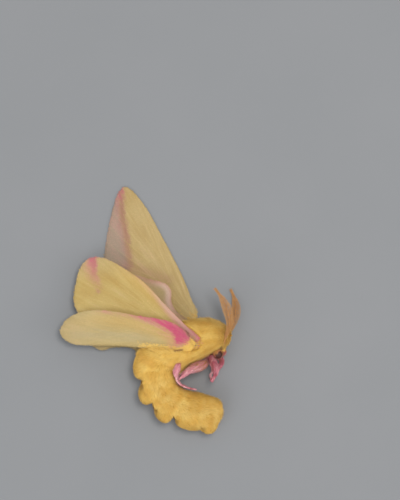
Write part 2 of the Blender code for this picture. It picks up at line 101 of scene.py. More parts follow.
HEAD_R = (0.81, 0.88, 0.95)      # skin: towards the face, the crown and the sides
EYES = {"right": HEAD + SIDE * 0.90 + FACE * 0.53 - CROWN * 0.05, "left": HEAD - SIDE * 0.90 + FACE * 0.53 - CROWN * 0.05}
ANTENNAE = {
    "right": [(10.15, -4.6, 3.6, 0.26), (10.5, -3.5, 4.2, 0.3), (10.95, -1.9, 4.6, 0.62), (10.85, -0.6, 4.75, 0.74),
              (10.4, 0.75, 4.75, 0.56), (9.75, 1.9, 4.6, 0.27), (9.0, 2.9, 4.4, 0.25)],
    "left": [(10.33, -4.6, 1.95, 0.26), (10.75, -3.6, 1.5, 0.3), (11.35, -2.1, 1.15, 0.6), (11.75, -0.9, 0.85, 0.74),
             (11.85, 0.4, 0.6, 0.56), (11.6, 1.6, 0.4, 0.27), (11.15, 2.7, 0.27, 0.25)],
}
LEGS = {
    "leg_fore_right": [(8.62, -5.98, 2.85, 0.5), (9.0, -6.95, 3.38, 0.6), (9.22, -7.55, 3.38, 0.48),
                       (9.26, -8.15, 3.15, 0.31), (8.98, -8.8, 2.88, 0.25), (8.7, -9.25, 2.7, 0.25)],
    "leg_mid_right": [(8.2, -6.65, 2.4, 0.42), (7.6, -7.1, 3.1, 0.68), (6.95, -7.38, 3.45, 0.68),
                      (6.05, -7.75, 3.45, 0.47), (5.2, -8.4, 3.3, 0.33), (4.5, -8.98, 3.1, 0.25)],
    "leg_hind_right": [(4.45, -6.85, 4.25, 0.38), (4.3, -7.45, 4.2, 0.48), (4.12, -8.15, 3.95, 0.36),
                       (4.2, -9.15, 3.5, 0.25), (4.85, -9.8, 3.15, 0.25), (5.9, -10.2, 2.92, 0.25),
                       (6.6, -10.35, 2.78, 0.25)],
    "leg_fore_left": [(9.76, -6.15, 1.1, 0.36), (9.98, -6.7, 1.15, 0.4), (9.86, -7.25, 0.95, 0.36),
                      (9.6, -7.85, 0.6, 0.25), (9.3, -8.4, 0.25, 0.25)],
    "leg_mid_left": [(8.2, -6.35, 1.5, 0.34), (8.9, -7.2, 1.6, 0.36), (8.85, -8.0, 1.35, 0.28),
                     (8.55, -8.6, 0.9, 0.26), (8.7, -9.2, 0.25, 0.25)],
    "leg_hind_left": [(6.4, -7.0, 1.3, 0.36), (5.3, -7.9, 1.2, 0.34), (4.35, -8.8, 0.95, 0.28),
                      (4.55, -9.7, 0.55, 0.25), (5.4, -10.2, 0.25, 0.25)],
}


# ------------------------------------------------------------------ small tools
def smooth(x, a=0.0, b=1.0):
    x = np.clip((np.asarray(x, float) - a) / (b - a), 0.0, 1.0)
    return x * x * (3 - 2 * x)


def through(table, x):
    """Cubic Hermite curve through (position, value) pairs, for an array of positions."""
    t = np.array([p[0] for p in table], float)
    v = np.array([p[1] for p in table], float)
    m = np.gradient(v, t)
    x = np.clip(np.asarray(x, float), t[0], t[-1])
    i = np.clip(np.searchsorted(t, x) - 1, 0, len(t) - 2)
    d = t[i + 1] - t[i]
    u = (x - t[i]) / d
    return ((2 * u**3 - 3 * u**2 + 1) * v[i] + (u**3 - 2 * u**2 + u) * d * m[i]
            + (-2 * u**3 + 3 * u**2) * v[i + 1] + (u**3 - u**2) * d * m[i + 1])


def curve(points, n):
    p = np.array(points, float)
    p = np.vstack([2 * p[0] - p[1], p, 2 * p[-1] - p[-2]])
    out = []
    for i in range(1, len(p) - 2):
        k = [0.0]
        for j in range(3):
            k.append(k[-1] + max(np.linalg.norm(p[i + j] - p[i + j - 1]), 1e-6) ** 0.5)
        for t in np.linspace(k[1], k[2], 24, endpoint=False):
            a = [(k[j + 1] - t) / (k[j + 1] - k[j]) * p[i - 1 + j] + (t - k[j]) / (k[j + 1] - k[j]) * p[i + j]
                 for j in range(3)]
            b = [(k[j + 2] - t) / (k[j + 2] - k[j]) * a[j] + (t - k[j]) / (k[j + 2] - k[j]) * a[j + 1]
                 for j in range(2)]
            out.append((k[2] - t) / (k[2] - k[1]) * b[0] + (t - k[1]) / (k[2] - k[1]) * b[1])
    out.append(p[-2])
    out = np.array(out)
    length = np.concatenate([[0], np.cumsum(np.linalg.norm(np.diff(out[:, :2], axis=0), axis=1))])
    at = np.linspace(0, length[-1], n)
    return np.stack([np.interp(at, length, out[:, j]) for j in range(out.shape[1])], axis=1)


def unit(a):
    return a / np.maximum(np.linalg.norm(a, axis=-1, keepdims=True), 1e-12)


def to_segments(q, line):
    """Distance of points q (N, d) to a polyline (M, d), and how far along it (0 to 1) the nearest place is."""
    q, line = np.asarray(q, float), np.asarray(line, float)
    best = np.full(len(q), 1e9)
    where = np.zeros(len(q))
    seg = np.linalg.norm(np.diff(line, axis=0), axis=1)
    run = np.concatenate([[0], np.cumsum(seg)])
    for i in range(len(line) - 1):
        a, d = line[i], line[i + 1] - line[i]
        t = np.clip(((q - a) @ d) / max(d @ d, 1e-12), 0, 1)
        r = np.linalg.norm(q - a - t[:, None] * d, axis=1)
        near = r < best
        best[near] = r[near]
        where[near] = ((run[i] + t * seg[i]) / run[-1])[near]
    return best, where


def waves(p, scale, seed, n=10):
    """Smooth noise between about -1 and 1: a few plane waves of random direction."""
    r = np.random.default_rng(seed)
    d = unit(r.normal(size=(n, p.shape[1])))
    f = r.uniform(0.6, 1.6, n) / scale * 2 * math.pi
    ph = r.uniform(0, 2 * math.pi, n)
    return np.sin(p @ (d * f[:, None]).T + ph).sum(axis=1) / math.sqrt(n / 2) * 0.6


def inside(q, polygon):
    """Signed distance of points to a closed outline in the plane: negative inside."""
    poly = np.asarray(polygon, float)
    d, _ = to_segments(q, np.vstack([poly, poly[:1]]))
    x, y = q[:, 0], q[:, 1]
    odd = np.zeros(len(q), bool)
    for a, b in zip(poly, np.roll(poly, -1, axis=0)):
        cross = (a[1] > y) != (b[1] > y)
        with np.errstate(divide="ignore", invalid="ignore"):
            xx = a[0] + (y - a[1]) * (b[0] - a[0]) / (b[1] - a[1])
        odd ^= cross & (x < xx)
    return np.where(odd, -d, d)


def mesh_from(name, verts, faces, rim=None):
    """verts (N, 3) in design millimetres; faces a list of index arrays with 3 or 4 columns. rim: for meshes of many equal
    pieces, which points of one piece lie on its rim; the edges between those are sharp."""
    me = bpy.data.meshes.new(name)
    faces = [np.asarray(f, np.int32) for f in faces if len(f)]
    loops = np.concatenate([f.ravel() for f in faces])
    totals = np.concatenate([np.full(len(f), f.shape[1], np.int32) for f in faces])
    me.vertices.add(len(verts))
    me.vertices.foreach_set("co", ((np.asarray(verts, float) + SHIFT) * MM).astype(np.float32).ravel())
    me.loops.add(len(loops))
    me.loops.foreach_set("vertex_index", loops)
    me.polygons.add(len(totals))
    me.polygons.foreach_set("loop_start", np.concatenate([[0], np.cumsum(totals)[:-1]]).astype(np.int32))
    me.polygons.foreach_set("use_smooth", np.full(len(totals), True))
    me.update(calc_edges=True)
    me.validate()
    if rim is not None:
        pair = np.empty(len(me.edges) * 2, np.int32)
        me.edges.foreach_get("vertices", pair)
        on = np.asarray(rim, bool)[pair.reshape(-1, 2) % len(rim)].all(axis=1)
        me.attributes.new("sharp_edge", "BOOLEAN", "EDGE").data.foreach_set("value", on)
    ob = bpy.data.objects.new(name, me)
    bpy.context.scene.collection.objects.link(ob)
    return ob


def put(ob, name, values):
    """A float attribute on the points of a mesh."""
    a = ob.data.attributes.get(name) or ob.data.attributes.new(name, "FLOAT", "POINT")
    a.data.foreach_set("value", np.asarray(values, np.float32))


def put_uv(ob, per_vertex):
    uv = ob.data.uv_layers.get("OFBake") or ob.data.uv_layers.new(name="OFBake")
    idx = np.empty(len(ob.data.loops), np.int32)
    ob.data.loops.foreach_get("vertex_index", idx)
    uv.data.foreach_set("uv", np.asarray(per_vertex, np.float32)[idx].ravel())


# ------------------------------------------------------------------ spine of the body
def heading(s):
    s = np.asarray(s, float)
    return np.where(s < 0, WAIST_HEADING + THORAX_BEND * s,
                    WAIST_HEADING + CURL - CURL * np.clip(1 - s / CURL_LENGTH, 0, None) ** CURL_POWER)


_S = np.linspace(-10.0, 15.0, 2501)
_H = np.radians(heading(_S))
_D = np.stack([np.cos(_H), np.sin(_H)], axis=1)
_C = np.concatenate([[[0.0, 0.0]], np.cumsum((_D[1:] + _D[:-1]) / 2 * (_S[1] - _S[0]), axis=0)])
_C += np.array(WAIST) - _C[int(np.argmin(abs(_S)))]


def spine(s):
    c = np.stack([np.interp(s, _S, _C[:, 0]), np.interp(s, _S, _C[:, 1])], axis=-1)
    a = np.radians(heading(s))
    return c, np.stack([np.cos(a), np.sin(a)], -1), np.stack([np.sin(a), -np.cos(a)], -1)


def on_spine(q):
    """Place along the spine and distance across it (towards the back) of points in the plane."""
    k, c = _S[::5], _C[::5]
    near = np.concatenate([np.argmin(((part[:, None, :2] - c[None]) ** 2).sum(2), axis=1)
                           for part in np.array_split(q, len(q) // 4000 + 1)])
    s = k[near]
    _, along, out = spine(s)
    d = q[:, :2] - c[near]
    return s + (d * along).sum(1) * 0.6, (d * out).sum(1)


# ------------------------------------------------------------------ wings: height of the folded plates
def lift(hinge, low, high, reach, power):
    def height(x, y):
        t = 1 - np.hypot(np.asarray(x) - hinge[0], np.asarray(y) - hinge[1]) / reach
        return low + (high - low) * ((t + np.sqrt(t * t + 0.012)) / 2) ** power
    return height


Z_FL = lift(LEFT_HINGE, WING_THICK / 2, 1.55, 6.0, 1.6)
Z_HL = lift(LEFT_HINGE, WING_THICK / 2 + WING_PITCH, 2.35, 6.0, 1.6)
Z_FR = lift(RIGHT_HINGE, WING_THICK / 2 + 2 * WING_PITCH, 4.75, 13.0, 1.35)
Z_HR = lift(RIGHT_HINGE, WING_THICK / 2 + 3 * WING_PITCH, 5.55, 13.0, 1.35)


def outline(edges, n=60):
    return np.vstack([curve(edges[0], n), curve(edges[1], n)[::-1]])


OUT_FR, OUT_HR = outline(FORE_RIGHT), outline(HIND_RIGHT)


def press(p, room=0.32, steep=1.9, free=0.0):
    """Lowers points of the coat that would come up through the right wings; the fur rises beside them. Hair may pass over
    a wing within free of its hinge."""
    p = p.copy()
    for poly, z in ((OUT_FR, Z_FR), (OUT_HR, Z_HR)):
        near = (p[:, 0] > poly[:, 0].min() - 2) & (p[:, 2] > 1.2)
        if not near.any():
            continue
        q = p[near]
        d = inside(q[:, :2], poly)
        top = z(q[:, 0], q[:, 1]) - room + steep * np.clip(d + 0.02, 0, None)
        if free:
            r = np.hypot(q[:, 0] - RIGHT_HINGE[0], q[:, 1] - RIGHT_HINGE[1])
            top = top + 2.0 * (1 - smooth(r, free * 0.55, free))
        q[:, 2] = np.minimum(q[:, 2], top)
        p[near] = q
    return p


# ------------------------------------------------------------------ body surface
def fan(k, s, trim=0.0):
    a, b, high, lean = FANS[k]
    a, b = a + trim * (0.5 if k == 1 else 1.0), b - trim
    u = np.clip((s - a) / (b - a), 0, 1)
    return high * np.clip(1 - np.abs(2 * u**lean - 1) ** 2.3, 0, None) ** 0.5


TRIM = 0.21           # the skin of each lobe is narrower than its fur by this much on either side


def fans(s, trim=0.0):
    return np.max([fan(k, s, trim * (1.15 if k == 3 else 1.0)) for k in FANS], axis=0)


def lobes(s, a, trim=0.0):
    """Height of the long hair of the back at s and angle a: scalloped along the ridge, closed over on the flanks."""
    ridge = np.clip(np.cos(a - np.radians(through(ROLL, s)) * 0.6), 0, None)
    crest = smooth(ridge, *CREST)
    return (fans(s, trim) * crest + through(MANE, s) * (1 - crest)) * ridge**1.3


def grooves(s):
    """The clefts between the lobes of the back cut a little into the body behind them."""
    return 0.10 * np.exp(-((s - 3.42) / 0.14) ** 2) + 0.20 * np.exp(-((s - 8.03) / 0.14) ** 2)


def body_point(s, a, depth=0.0, rise=0.0):
    """Point of the coat's outer surface at s along the spine and angle a round it (0 = back, 90 degrees = up), sunk by
    depth and raised by rise."""
    s, a = np.broadcast_arrays(np.asarray(s, float), np.asarray(a, float))
    c, h, n = spine(s)
    mix = smooth(s, -0.9, 0.7)
    back = through(BACK_T, s) * (1 - mix) + through(BACK_A, s) * mix - grooves(s)
    belly = through(BELLY_T, s) * (1 - mix) + through(BELLY_A, s) * mix
    high = through(HEIGHT, s)
    mid = high - FLAT
    uf = np.clip((FRONT + 2.6 - s) / 2.6, 0, 1)
    ut = np.clip((s - (TIP - 1.25)) / 1.25, 0, 1)
    f = np.clip(1 - uf**2.3, 0, None) ** (1 / 2.1) * np.clip(1 - ut**2.4, 0, None) ** (1 / 2.2)
    ca, sa = np.cos(a), np.sin(a)
    wide = back * smooth(ca, -0.25, 0.25) + belly * (1 - smooth(ca, -0.25, 0.25))
    rho = (np.abs(ca / wide) ** SQUARE + np.abs(sa / high) ** SQUARE) ** (-1 / SQUARE)
    rho = rho + lobes(s, a, TRIM if np.max(depth) > 0 else 0.0)
    rho = rho * f - depth * f**0.5 + rise
    rho = np.maximum(rho, 0.01)
    z = mid + rho * sa
    return np.stack([c[..., 0] + n[..., 0] * rho * ca, c[..., 1] + n[..., 1] * rho * ca, z], axis=-1)


def body_frame(s, a, depth=0.0):
    """Point, outward normal and direction towards the tail on the body's surface."""
    e = 0.02
    p = body_point(s, a, depth)
    ps = body_point(s + e, a, depth) - body_point(s - e, a, depth)
    pa = body_point(s, a + e, depth) - body_point(s, a - e, depth)
    nrm = unit(np.cross(ps, pa))
    c, _, _ = spine(s)
    out = p - np.concatenate([c, (through(HEIGHT, s) - FLAT)[:, None]], axis=1)
    nrm = np.where((nrm * out).sum(1, keepdims=True) < 0, -nrm, nrm)
    return p, nrm, unit(ps)


COAT = 0.34           # depth of the long coat over the skin


def tube(name, rings):
    """Closed tube through rings (n, m, 3)."""
    rings = np.asarray(rings)
    n, m, _ = rings.shape
    v = rings.reshape(-1, 3)
    i = np.arange(n - 1)[:, None] * m
    j = np.arange(m)[None, :]
    k = (j + 1) % m
    quads = np.stack([i + j, i + k, i + m + k, i + m + j], axis=-1).reshape(-1, 4)
    a, b = rings[0].mean(0), rings[-1].mean(0)
    v = np.vstack([v, a, b])
    jj = np.arange(m)
    kk = (jj + 1) % m
    cap0 = np.stack([kk, jj, np.full(m, n * m)], axis=1)
    cap1 = np.stack([(n - 1) * m + jj, (n - 1) * m + kk, np.full(m, n * m + 1)], axis=1)
    return v, [quads, np.vstack([cap0, cap1])]


def limb_rings(p, sides, width=1.0, up=1.0, floor=0.0):
    """Rings round a path p (n, 4) of points and radii."""
    d = unit(np.gradient(p[:, :3], axis=0))
    side = unit(np.cross(d, np.array([0, 0, 1.0])))
    top = np.cross(side, d)
    a = 2 * np.pi * (np.arange(sides) + 0.5) / sides
    r = p[:, 3][:, None, None]
    q = p[:, None, :3] + side[:, None, :] * np.cos(a)[None, :, None] * r * width \
        + top[:, None, :] * np.sin(a)[None, :, None] * r * up
    q[..., 2] = np.maximum(q[..., 2], floor)
    return q


FOOT = {"leg_mid_right": 0.84, "leg_fore_right": 0.72, "leg_hind_right": 0.32}    # where the foot begins


HIPS = {"leg_fore_left": (9.2, -5.5, 1.8), "leg_mid_left": (7.9, -5.7, 2.0), "leg_hind_left": (6.2, -6.3, 1.8)}   # inside the breast


def leg_path(name, n=120, thin=0.0):
    """Skin of a leg: hip, thigh, shin and a jointed foot, as a path with radii."""
    p = curve(LEGS[name], n)
    t = np.linspace(0, 1, n)
    slim = {"leg_hind_right": 1.0, "leg_hind_left": 0.6, "leg_mid_right": 1.0}.get(name, 0.88)
    r = (p[:, 3] - 0.13) * slim
    r = np.clip(r, 0.095, None)
    # joints of the foot: five short lengths
    begin = FOOT.get(name, 0.60)
    foot = smooth(t, begin, begin + 0.07)
    beads = 0.86 + 0.14 * np.abs(np.sin(np.pi * (t - begin - 0.02) / ((1 - begin) / 5)))
    r = r * (1 - foot) + {"leg_fore_right": 0.21, "leg_hind_right": 0.105}.get(name, 0.14) * beads * foot
    knee = np.exp(-((t - begin + 0.1) / 0.03) ** 2)
    r = r * (1 - 0.15 * knee)
    end = np.sqrt(np.clip(1 - ((t - 0.965) / 0.035).clip(0, 1) ** 2, 0.02, 1))
    p[:, 3] = r * end - thin
    if name in HIPS:
        # the far legs run on into the breast
        k = n // 6
        at = np.linspace(0, n - 1, n - k)
        core = np.stack([np.interp(at, np.arange(n), p[:, j]) for j in range(4)], 1)
        hip = np.array([*HIPS[name], core[0, 3] * 1.15])
        p = np.vstack([hip + (core[0] - hip) * np.linspace(0, 1, k + 1)[:-1, None], core])
    return p


def union(name, parts):
    """One closed skin from several closed shells."""
    obs = [mesh_from(f"{name}_{i}", v, f) for i, (v, f) in enumerate(parts)]
    for o in obs:
        bm = bmesh.new()
        bm.from_mesh(o.data)
        bmesh.ops.recalc_face_normals(bm, faces=bm.faces[:])
        for v in bm.verts:
            v.co *= 1000.0
        bm.to_mesh(o.data)
        bm.free()
    base = obs[0]
    for o in obs[1:]:
        m = base.modifiers.new("join", "BOOLEAN")
        m.operation, m.solver, m.object = "UNION", "EXACT", o
    bpy.context.view_layer.update()
    me = bpy.data.meshes.new_from_object(base.evaluated_get(bpy.context.evaluated_depsgraph_get()))
    me.transform(Matrix.Scale(MM, 4))
    for o in obs:
        bpy.data.objects.remove(o, do_unlink=True)
    ob = bpy.data.objects.new(name, me)
    bpy.context.scene.collection.objects.link(ob)
    me.shade_smooth()
    return ob


def design(ob):
    """Points of a mesh in design millimetres."""
    co = np.empty(len(ob.data.vertices) * 3, np.float32)
    ob.data.vertices.foreach_get("co", co)
    return co.reshape(-1, 3).astype(float) / MM - SHIFT


def body_shell():
    n, m = ((250, 96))
    s = FRONT + (TIP - FRONT) * np.linspace(0, 1, n)
    s[0], s[-1] = FRONT + 0.004, TIP - 0.004
    a = 2 * np.pi * (np.arange(m) + 0.5) / m
    ss, aa = np.meshgrid(s, a, indexing="ij")
    p = body_point(ss.ravel(), aa.ravel(), COAT)
    # soft lumps of the fur mass
    _, nr, _ = body_frame(ss.ravel(), aa.ravel(), COAT)
    p = p + nr * (0.02 * waves(p, 1.6, 5) + 0.012 * waves(p, 0.6, 6))[:, None]
    p = press(p)
    p[:, 2] = np.maximum(p[:, 2], 0.06)
    return tube("body", p.reshape(n, m, 3))


def head_shell():
    n, m = 40, 48
    t = np.pi * (0.02 + 0.96 * np.arange(n) / (n - 1))
    a = 2 * np.pi * np.arange(m) / m
    tt, aa = np.meshgrid(t, a, indexing="ij")
    along = -np.cos(tt)
    around = np.sin(tt)
    sx, cx = np.sin(aa), np.cos(aa)
    # a rounded face with a low frons and hollows for the eyes
    p = (HEAD + FACE * (along * HEAD_R[0] * (1 + 0.25 * np.clip(along, 0, 1) ** 2))[..., None]
         + CROWN * (HEAD_R[1] * around * cx)[..., None] + SIDE * (HEAD_R[2] * around * sx)[..., None])
    q = p.reshape(-1, 3)
    for c in EYES.values():
        d = np.linalg.norm(q - c, axis=1)
        push = np.clip(0.50 - d, 0, None)
        q = q - unit(c - HEAD)[None, :] * (push * 0.9)[:, None]
    return tube("head", q.reshape(n, m, 3))


# ------------------------------------------------------------------ wings: surface, veins and markings
FRINGE = 0.20         # how far the fringe of hair-scales stands out beyond the membrane


def inset(edges, n, by):
    """Leading and trailing edges, moved inwards by the depth of the fringe (not at the hinge)."""
    lead, trail = curve(edges[0], n), curve(edges[1], n)
    ring = np.vstack([lead, trail[::-1]])
    t = unit(np.roll(ring, -2, axis=0) - np.roll(ring, 2, axis=0))
    nrm = np.stack([t[:, 1], -t[:, 0]], axis=1)
    if inside(ring[n // 2:n // 2 + 1] + nrm[n // 2:n // 2 + 1] * 0.05, ring)[0] > 0:
        nrm = -nrm
    d = np.linalg.norm(ring - (lead[0] + trail[0]) / 2, axis=1)
    ring = ring + nrm * (by * smooth(d, 1.2, 3.0))[:, None]
    return ring[:n], ring[n:][::-1]


class Wing:
    def __init__(self, name, edges, height, cell, ends, sink=0.0, ribs=1.0, pleat=0.03, folds=0.0):
        self.name, self.edges, self.height, self.sink, self.pleat = name, edges, height, sink, pleat
        self.ribs, self.folds = ribs, folds
        self.lead, self.trail = inset(edges, 160, FRINGE)
        self.rim = np.vstack([self.lead, self.trail[::-1]])
        self.hinge = (self.lead[0] + self.trail[0]) / 2
        self.veins = self.make_veins(cell, ends)

    def at(self, u, v):
        u, v = np.broadcast_arrays(np.asarray(u, float), np.asarray(v, float))
        k = np.linspace(0, 1, len(self.lead))
        a = np.stack([np.interp(u, k, self.lead[:, j]) for j in (0, 1)], -1)
        b = np.stack([np.interp(u, k, self.trail[:, j]) for j in (0, 1)], -1)
        return a * (1 - v)[..., None] + b * v[..., None]

    def make_veins(self, cell, ends):
        """Veins fan out from the hinge, past a closed cell, to the margins."""
        def bow(a, b, c, n=14):
            t = np.linspace(0, 1, n)[:, None]
            m = (a + b) / 2 + np.array([-(b - a)[1], (b - a)[0]]) * c
            return a * (1 - t)**2 + 2 * m * t * (1 - t) + b * t**2
        c1, c2 = self.at(cell[0], cell[1]), self.at(cell[0], cell[2])
        h1, h2, h3 = self.at(0.02, 0.25), self.at(0.02, 0.5), self.at(0.02, 0.8)
        mid = (c1 + c2) / 2
        out = [(bow(h1, c1, 0.03), 1.0), (bow(h2, c2, -0.03), 1.0), (bow(c1, mid, 0.1), 0.5), (bow(mid, c2, 0.1), 0.5)]
        out.append((bow(h1, self.at(ends[0], 0.0), -0.02), 1.0))
        for e, start in zip(ends[1:3], (0.72, 0.9)):
            out.append((bow(h1 + (c1 - h1) * start, self.at(e, 0.0), 0.02), 0.8))
        starts = [c1, c1 * 0.75 + c2 * 0.25, mid, c2, h2 + (c2 - h2) * 0.82, h2 + (c2 - h2) * 0.6]
        for e, a in zip(ends[3:9], starts):
            out.append((bow(a, self.at(e, 1.0), 0.015), 0.8))
        out.append((bow(h3, self.at(ends[9], 1.0), -0.03), 0.7))
        return out

    def relief(self, q):
        """Height of the veins over the membrane, and the soft pleats between them."""
        vein = np.zeros(len(q))
        near = np.full(len(q), 9.0)
        for line, size in self.veins:
            d, w = to_segments(q, line)
            vein = np.maximum(vein, size * np.exp(-(d / 0.075) ** 2) * (1 - 0.55 * w))
            near = np.minimum(near, d)
        return vein, 1 - np.exp(-(near / 0.45) ** 2)

    def surface(self, q):
        """Middle of the wing's thickness, its half thickness and the vein relief, at points q in the plane."""
        vein, valley = self.relief(q)
        d = np.hypot(q[:, 0] - self.hinge[0], q[:, 1] - self.hinge[1])
        wide = smooth(d, 1.0, 5.0)
        edge = smooth(-inside(q, self.rim), 0.0, 0.5)
        z = self.height(q[:, 0], q[:, 1]) - self.sink
        z = z - self.pleat * valley * wide + self.pleat * 0.8 * waves(q, 5.0, 31 + len(self.name)) * wide
        if self.folds:
            # long shallow folds that open from the hinge like a half closed fan
            c = self.hinge + np.array([8.5, -0.3])
            ang = np.arctan2(q[:, 1] - c[1], q[:, 0] - c[0]) % (2 * np.pi)
            sway = 0.5 * waves(q * [0.16, 0.5], 1.0, 61)
            z = z + self.folds * np.sin(ang * 150.0 + sway * 2.0) * wide * edge * (0.7 + 0.3 * waves(q * [0.3, 1.0], 2.0, 62))
        half = 0.035 + 0.030 * edge + 0.03 * (1 - wide)
        return z, half, vein * self.ribs


WINGS = {
    "wing_fore_left": Wing("wing_fore_left", FORE_LEFT, Z_FL, (0.46, 0.22, 0.62),
                           (0.66, 0.82, 0.93, 0.93, 0.85, 0.77, 0.69, 0.61, 0.52, 0.40), sink=0.11, ribs=0.55, pleat=0.018),
    "wing_hind_left": Wing("wing_hind_left", HIND_LEFT, Z_HL, (0.40, 0.3, 0.7),
                           (0.62, 0.8, 0.93, 0.94, 0.84, 0.74, 0.62, 0.52, 0.42, 0.28), sink=0.06, ribs=0.5, pleat=0.04),
    "wing_fore_right": Wing("wing_fore_right", FORE_RIGHT, Z_FR, (0.46, 0.24, 0.60),
                            (0.68, 0.84, 0.94, 0.93, 0.84, 0.76, 0.67, 0.58, 0.49, 0.38), sink=-0.10, ribs=0.55, pleat=0.035),
    "wing_hind_right": Wing("wing_hind_right", HIND_RIGHT, Z_HR, (0.42, 0.3, 0.64),
                            (0.6, 0.8, 0.94, 0.95, 0.88, 0.8, 0.7, 0.58, 0.45, 0.28), sink=0.16, ribs=0.25, pleat=0.03,
                            folds=0.032),
}


# the dark line along this fold is painted shade
FOLD = np.array([(4.05, -5.27), (4.5, -5.18), (4.95, -5.13)])      # a small fold in the fur below the wing


def stroke(q, line, left, right, fade=None):
    """Soft stroke along a line: different widths on its two sides."""
    line = np.asarray(line, float)
    d, w = to_segments(q, line)
    i = np.clip((w * (len(line) - 1)).astype(int), 0, len(line) - 2)
    t = line[i + 1] - line[i]
    side = t[:, 0] * (q[:, 1] - line[i, 1]) - t[:, 1] * (q[:, 0] - line[i, 0])
    width = np.where(side > 0, left, right)
    f = np.exp(-(d / width) ** 2)
    if fade is not None:
        f = f * np.interp(w, np.linspace(0, 1, len(fade)), fade)
    return f, w


